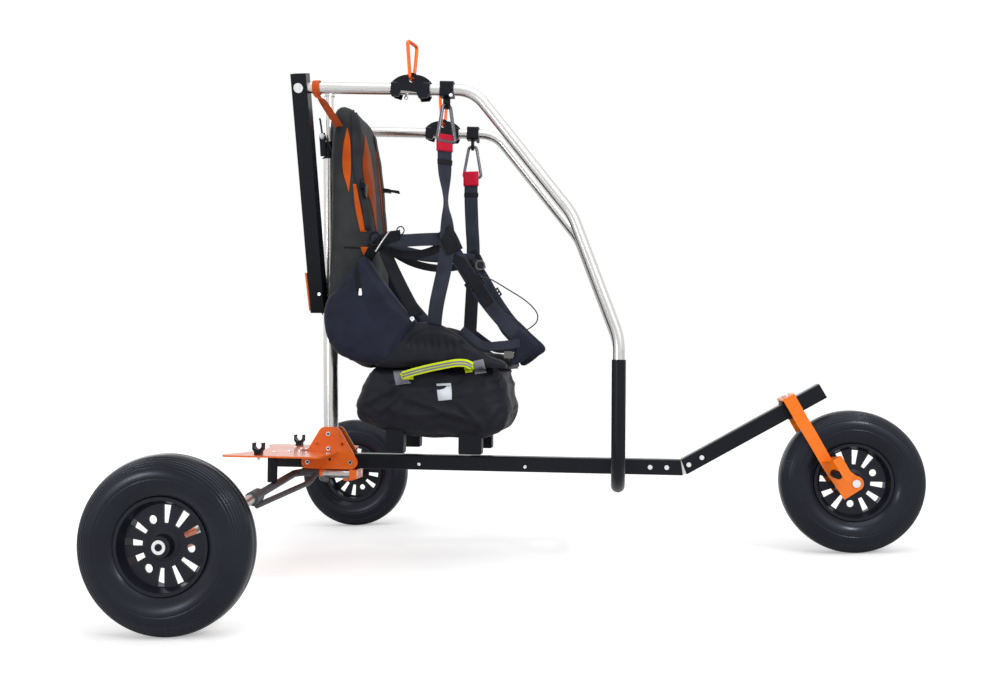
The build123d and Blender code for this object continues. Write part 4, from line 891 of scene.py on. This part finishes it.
for hand, name in sides:
    sleeve = [(0.528, 0.932, tube_y), (0.529, 0.885, tube_y)]
    side_tape("riser_sleeve_" + name, hand, [(*spot, face) for spot, face in zip(sleeve, sleeve_faces[name])],
              0.050, 0.012, red_web, ("riser_sleeves",))
    riser = [(0.529, 0.888, tube_y), (0.530, 0.830, tube_y), (0.534, 0.748, tube_y), (0.538, 0.690, tube_y),
             (0.540, 0.622, tube_y * 0.985)]
    side_tape("riser_" + name, hand, [(*spot, face) for spot, face in zip(riser, riser_faces[name])],
              0.044, 0.0035, dark_web, replaced=("risers",))
    keeper = [(0.530, 0.862, tube_y), (0.530, 0.848, tube_y)]
    side_tape("riser_keeper_" + name, hand, [(*spot, face) for spot, face in zip(keeper, keeper_faces[name])],
              0.047, 0.0075, black_web, replaced=())
    side_tape("waist_strap_" + name, hand,
              [(0.545, 0.641, tube_y * 0.99, outward), (0.470, 0.644, tube_y * 0.87, outward),
               (0.390, 0.646, 0.190, outward), (0.330, 0.655, 0.150, (0.2, 1, 0)),
               (0.276, 0.664, 0.108, (0.5, 1, 0))], 0.036, 0.0035, dark_web)
    side_tape("waist_tail_" + name, hand,
              [(0.540, 0.632, tube_y * 0.96, (0.1, 1, 0.2)), (0.480, 0.611, 0.212, (0, 1, 0.1)),
               (0.420, 0.606, 0.178, outward), (0.352, 0.622, 0.140, (0.2, 1, 0)),
               (0.278, 0.664, 0.098, (0.5, 1, 0))], 0.024, 0.003, black_web)
    spread = (tube_y * 0.92, 0.205, 0.178, 0.160)
    leans = (outward, outward, (0, 1, 0.2), (0, 1, 0.3))
    leg_run = [(0.542, 0.640, tube_y * 0.99, outward)]
    leg_run += [(u, w, y, face) for (u, w), y, face in zip(leg_strap_runs[name], spread, leans)]
    # The far leg strap is the same dark webbing as the near one; it takes the black webbing as painted shade,
    # where it lies in shadow behind the seat.
    side_tape("leg_strap_" + name, hand, leg_run, 0.042, 0.0035, dark_web if hand < 0 else black_web)
    side_tape("leg_diagonal_" + name, hand,
              [(0.535, 0.636, tube_y * 0.99, outward), (0.572, 0.582, tube_y * 0.92, outward),
               (0.620, 0.505, 0.214, (0.2, 1, 0)), (0.668, 0.440, 0.180, (0.2, 1, 0)),
               (0.722, 0.380, 0.158, (0.1, 1, 0))], 0.040, 0.0035, dark_web)
    side_tape("junction_patch_" + name, hand,
              [(0.528, 0.666, tube_y * 1.005, (0.05, 1, 0)), (0.545, 0.640, tube_y, (0.05, 1, 0)),
               (0.560, 0.606, tube_y * 0.968, (0, 1, 0.1))], 0.048, 0.0095, black_web)
    lock_mid = at(0.612, 0.520, hand * 0.2215)
    lock_run = (at(0.650, 0.466, hand * 0.190) - at(0.585, 0.560, hand * 0.232)).normalized()
    lock_side = lock_run.cross(Vector((0.12, hand, 0))).normalized()
    for kind, steps, way, half in (
        ("bar", [lock_run * step for step in (-lock_bar_gap, 0, lock_bar_gap)], lock_side, lock_half_width),
        ("rail", [lock_side * step for step in (-lock_half_width, lock_half_width)], lock_run,
         lock_half_length),
    ):
        for number, step in enumerate(steps):
            middle = lock_mid + step
            wire(f"strap_lock_{kind}_{number}_{name}", [middle - way * half, middle, middle + way * half],
                 lock_rod, *plastic)
    side_tape("lock_tail_" + name, hand,
              [(0.560, 0.600, tube_y * 0.945, (0.1, 1, 0.1)), (0.590, 0.556, 0.236, (0.1, 1, 0.1)),
               (0.628, 0.500, 0.2185, (0.15, 1, 0.1)), (0.652, 0.462, 0.205, (0.2, 1, 0.1))],
              0.030, 0.003, black_web)
    side_tape("front_strap_" + name, hand,
              [(0.560, 0.395, 0.120, (0, 1, 0.3)), (0.625, 0.350, 0.146, (0, 1, 0.2)),
               (0.680, 0.349, 0.156, (0, 1, 0.1)), (0.735, 0.356, 0.160, outward)], 0.026, 0.003, dark_web)

tongue_end = far_buckle_spot + along_keel * 0.045 - off_keel * 0.006
tape("far_chest_tongue",
     [(far_buckle_spot - along_keel * 0.006, (0, 0, 1)),
      (far_buckle_spot + along_keel * 0.022 - off_keel * 0.002, (0, 0.2, 1)), (tongue_end, (0, 0.3, 1))],
     0.020, 0.0025, black_web)
side_tape("near_waist_rise", -1,
          [(0.262, 0.560, 0.118, (0.7, 0.7, 0)), (0.300, 0.622, 0.150, (0.4, 0.9, 0)),
           (0.345, 0.655, 0.176, (0.1, 1, 0)), (0.392, 0.662, 0.192, outward)],
          0.030, 0.003, black_web, replaced=())
side_tape("seat_belt_side", -1,
          [(0.318, 0.668, 0.128, (0.5, 0.8, 0)), (0.352, 0.590, 0.152, (0.3, 0.9, 0)),
           (0.400, 0.500, 0.168, (0.3, 0.9, 0)), (0.440, 0.430, 0.170, (0.3, 0.9, 0))],
          0.036, 0.003, black_web, replaced=())

waist_ring = []
for i in range(10):
    turn = tau * i / 10
    waist_ring.append(at(0.393 + 0.011 * cos(turn), 0.674 + 0.012 * sin(turn), -0.196))
wire("waist_ring", waist_ring, 0.0035, *plastic, True)
waist_bar = [at(0.361, 0.672, -0.197), at(0.341, 0.645, -0.199), at(0.320, 0.615, -0.190)]
wire("waist_bar_near", waist_bar, 0.0045, turned_alloy, "bolt_steel")
buckle_frame = (
    (0.300, 0.672), (0.322, 0.674), (0.326, 0.662), (0.322, 0.636), (0.302, 0.634), (0.296, 0.650),
)
wire("waist_buckle_frame", [at(u, w, -0.172) for u, w in buckle_frame], 0.008, *plastic, True)
grey_mould = coat_of_paint("grey_buckle", (92, 92, 86), 0.45)
far_buckle = ((0.552, 0.632), (0.576, 0.634), (0.582, 0.616), (0.574, 0.604), (0.554, 0.606))
wire("far_junction_buckle", [at(u, w, 0.228) for u, w in far_buckle], 0.007, grey_mould, "gunmetal", True)
grey_outline = (
    (-0.014, -0.009), (0.010, -0.010), (0.015, -0.004), (0.014, 0.007), (0.006, 0.011), (-0.013, 0.010),
)
moulding("front_strap_buckle", grey_outline, at(0.704, 0.322, -0.166), along_keel, off_keel, 0.009,
         grey_mould, "gunmetal")


# Leg panels: padded boards at the seat's front corners that the diagonals pull up, faced with
# the same navy cloth.
leg_outline = (
    (0.655, 0.448), (0.688, 0.448), (0.740, 0.402), (0.788, 0.352), (0.766, 0.322), (0.724, 0.292),
    (0.706, 0.304), (0.716, 0.340), (0.676, 0.390),
)
for hand, name in sides:
    stations = [(hand * y, inset) for y, inset in rounded_stations(0.1415, 0.156, 0.005)]
    leg_panel = sewn_shell("leg_panel_" + name, leg_outline, stations, navy_cloth)
    filled(leg_panel, 0.004, 3, 0.003)
    dressed(leg_panel, "harness_straps")


# Hanger straps: orange webbing, a ring round each top tube ahead of the arm and a tape sewn to it
# that runs down to the back's shoulder, where its end is stitched.
orange_web = woven("orange_webbing", (208, 88, 30), (172, 62, 18), 3600, 0.65, 0.05)
ring_radius = 0.0184
ring_steps = 40
for hand, name in sides:
    centre = at(0.162, 1.0714, hand * tube_y)
    places = []
    for step in range(ring_steps + 1):
        turn = tau * step / ring_steps
        out = Vector((0, cos(turn), 0)) + off_keel * sin(turn)
        places.append((centre + out * ring_radius, out))
    tape("hanger_ring_" + name, places, 0.020, 0.0035, orange_web, ("hanger_straps",), 1)
    side_tape("hanger_tape_" + name, hand,
              [(0.163, 1.058, tube_y + 0.008, (0, 1, 0.2)), (0.172, 1.036, 0.222, (0, 0.6, 0.8)),
               (0.188, 0.992, 0.110, (0, 0.4, 0.9))],
              0.026, 0.003, orange_web, ("hanger_straps",))


# Bag handle: a padded grab band, yellow-green cloth round a core with grey reflective stripes,
# bowed over the bag's right side and sewn down on grey tabs. A blank care patch sits below it.
neon_cloth = woven("neon_cloth", (222, 238, 40), (198, 216, 26), 3000, 0.6, 0.05)
grey_cloth = woven("grey_cloth", (138, 138, 150), (108, 108, 120), 3000, 0.5, 0.05)
handle_y = -0.1925
handle_line = (
    (0.404, 0.263, 0), (0.440, 0.274, 0.001), (0.483, 0.285, 0.003), (0.526, 0.294, 0.004),
    (0.560, 0.300, 0.003), (0.586, 0.299, 0.001), (0.603, 0.291, 0),
)
for name, rise, out, width, thickness, cloth in (
    ("handle_band", 0, 0, 0.022, 0.007, neon_cloth),
    ("handle_stripe_0", -0.0045, 0.0037, 0.0048, 0.001, grey_cloth),
    ("handle_stripe_1", 0.003, 0.0037, 0.0048, 0.001, grey_cloth),
):
    run = [(at(u, w - 0.002 + rise, handle_y - bow - out), (0, -1, 0)) for u, w, bow in handle_line]
    tape(name, run, width, thickness, cloth, ("bag_handle",))
care_white, care_tree, care_face = shader("care_patch_white", {"Roughness": 0.55})
care_where, care_grain = noise_bump(care_tree, care_face, 700, 0.0002, 0.3)
toned(care_tree, care_face, care_grain.outputs["Fac"], linear(206, 216, 226), linear(236, 240, 244))
patches = {
    "handle_patch_rear": (
        grey_cloth, ((393.2, 371.5), (394.4, 378), (395.8, 385.4)),
        ((404.0, 371.0), (407.6, 377), (411.0, 383.6))),
    "handle_patch_front": (
        grey_cloth, ((471.5, 361.5), (473.0, 368), (475.0, 374.5)),
        ((483.0, 359.0), (485.0, 366), (487.0, 373))),
    "handle_tab_rear": (
        neon_cloth, ((400.5, 374), (401, 377), (402.5, 379.6)), ((413.4, 373.0), (413.8, 376), (413.8, 380)),
        0.004, 0.003),
    "handle_tab_front": (
        neon_cloth, ((464.5, 366), (464.5, 370), (465.5, 373.6)), ((472.5, 364), (474, 368), (472.5, 373)),
        0.004, 0.003),
    "care_patch": (
        care_white, ((436.6, 384.4), (437.2, 392), (438.4, 400.8)),
        ((451.0, 383.8), (451.8, 391), (452.2, 399.4)),
        0.003, 0.0016, 2, 1),
}
for name, (cloth, left, right, *sizes) in patches.items():
    laid(name, left, right, bag_skin, cloth, "neon_fabric", *sizes)


# Small fittings on the frame: zinc screws on keel and deck, black discs as painted shade in the sockets of
# the plate screws and axle ends, nuts under the saddles, pinch screws of brackets and clamps, and the mast's
# block with its wheel and line.
button_head = (
    (0.0055, -0.0006), (0.0055, 0.0012), (0.0046, 0.003), (0.0028, 0.0036), (0.0024, 0.0024),
    (0.0008, 0.0024),
)
# The socket profiles are thin black discs, not hollows: painted shade where a screw's hex socket would be
# dark.
hex_socket_shade = ((0.0036, 0), (0.0036, 0.0006))
axle_socket_shade = ((0.0085, -0.0002), (0.0085, 0.0008), (0.0070, 0.0010), (0.0062, 0.0003))
hex_nut = (
    (0.0062, 0), (0.0062, 0.0052), (0.005, 0.006), (0.0034, 0.006), (0.0034, 0.009), (0.0026, 0.0098),
)
bracket_screw = ((0.003, -0.006), (0.003, 0.005), (0.0058, 0.005), (0.0058, 0.0105), (0.0045, 0.012))
keel_screws = ((0.422, -0.005), (0.741, -0.007))
plate_socket_shades = ((0.080, -0.005), (0.213, -0.004), (0.144, 0.037), (0.143, 0.081))
deck_screws = ((0, 0.098), (0.033, 0.058), (0.057, 0.038))
keel_side, plate_head_out, deck_top = 0.0227, 0.0329, 0.0278
axle_low, axle_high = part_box("stub_axles")
axle_middle = (axle_low + axle_high) / 2
for hand, name in sides:
    outside = to_left * hand
    for number, (u, w) in enumerate(keel_screws):
        turned_piece(f"keel_screw_{number}_{name}", at(u, w, hand * keel_side), outside, button_head, *zinc)
    for number, (u, w) in enumerate(plate_socket_shades):
        # Black disc on each plate screw head: painted shade of its socket.
        turned_piece(f"plate_socket_{number}_{name}", at(u, w, hand * plate_head_out), outside, hex_socket_shade,
                     *plastic, 6)
    axle_end = Vector((axle_middle.x, (axle_low if hand < 0 else axle_high).y, axle_middle.z))
    # Black disc on the axle end: painted shade of its socket.
    turned_piece("axle_socket_shade_" + name, axle_end, outside, axle_socket_shade, *plastic)
    for number, (u, y) in enumerate(deck_screws):
        turned_piece(f"deck_screw_{number}_{name}", at(u, deck_top, hand * y), off_keel, button_head, *zinc)
    turned_piece("saddle_nut_" + name, at(-0.016, 0.0226, hand * 0.191), -off_keel, hex_nut, *zinc, 6)
    turned_piece("bracket_pinch_screw_" + name, at(0.418, 1.0446, hand * tube_y), -off_keel, bracket_screw,
                 *zinc)
    turned_piece("clamp_pinch_screw_" + name, at(0.548, 1.036, hand * (tube_y + 0.0212)), outside,
                 button_head, *zinc)

sheave = (
    (0.0020, -0.004), (0.0085, -0.004), (0.0085, -0.0028), (0.0066, 0), (0.0085, 0.0028), (0.0085, 0.004),
    (0.0020, 0.004),
)
pulley_white = coat_of_paint("pulley_white", (226, 228, 232), 0.4)
sheave_spot = at(0.1092, 0.9883, -0.030)
turned_piece("mast_sheave", sheave_spot, -to_left, sheave, pulley_white, "bolt_steel")
cheek = (
    (-0.006, 0.012), (0.006, 0.012), (0.011, 0), (0.009, -0.018), (0.008, -0.060), (-0.006, -0.060),
    (-0.009, -0.018), (-0.011, 0),
)
moulding("mast_block_cheek", cheek, sheave_spot + to_left * 0.0075, along_keel, off_keel, 0.005, *plastic)
shackle = [sheave_spot + off_keel * 0.010, at(0.104, 1.020, -0.024), at(0.098, 1.045, -0.016),
           at(0.094, 1.048, -0.006)]
wire("mast_block_shackle", shackle, 0.006, black_web, "dark_webbing")
mast_line = [sheave_spot + along_keel * 0.009, at(0.130, 0.965, -0.030), at(0.152, 0.925, -0.050),
             at(0.174, 0.895, -0.085)]
wire("mast_block_line", mast_line, 0.005, black_web, "dark_webbing")
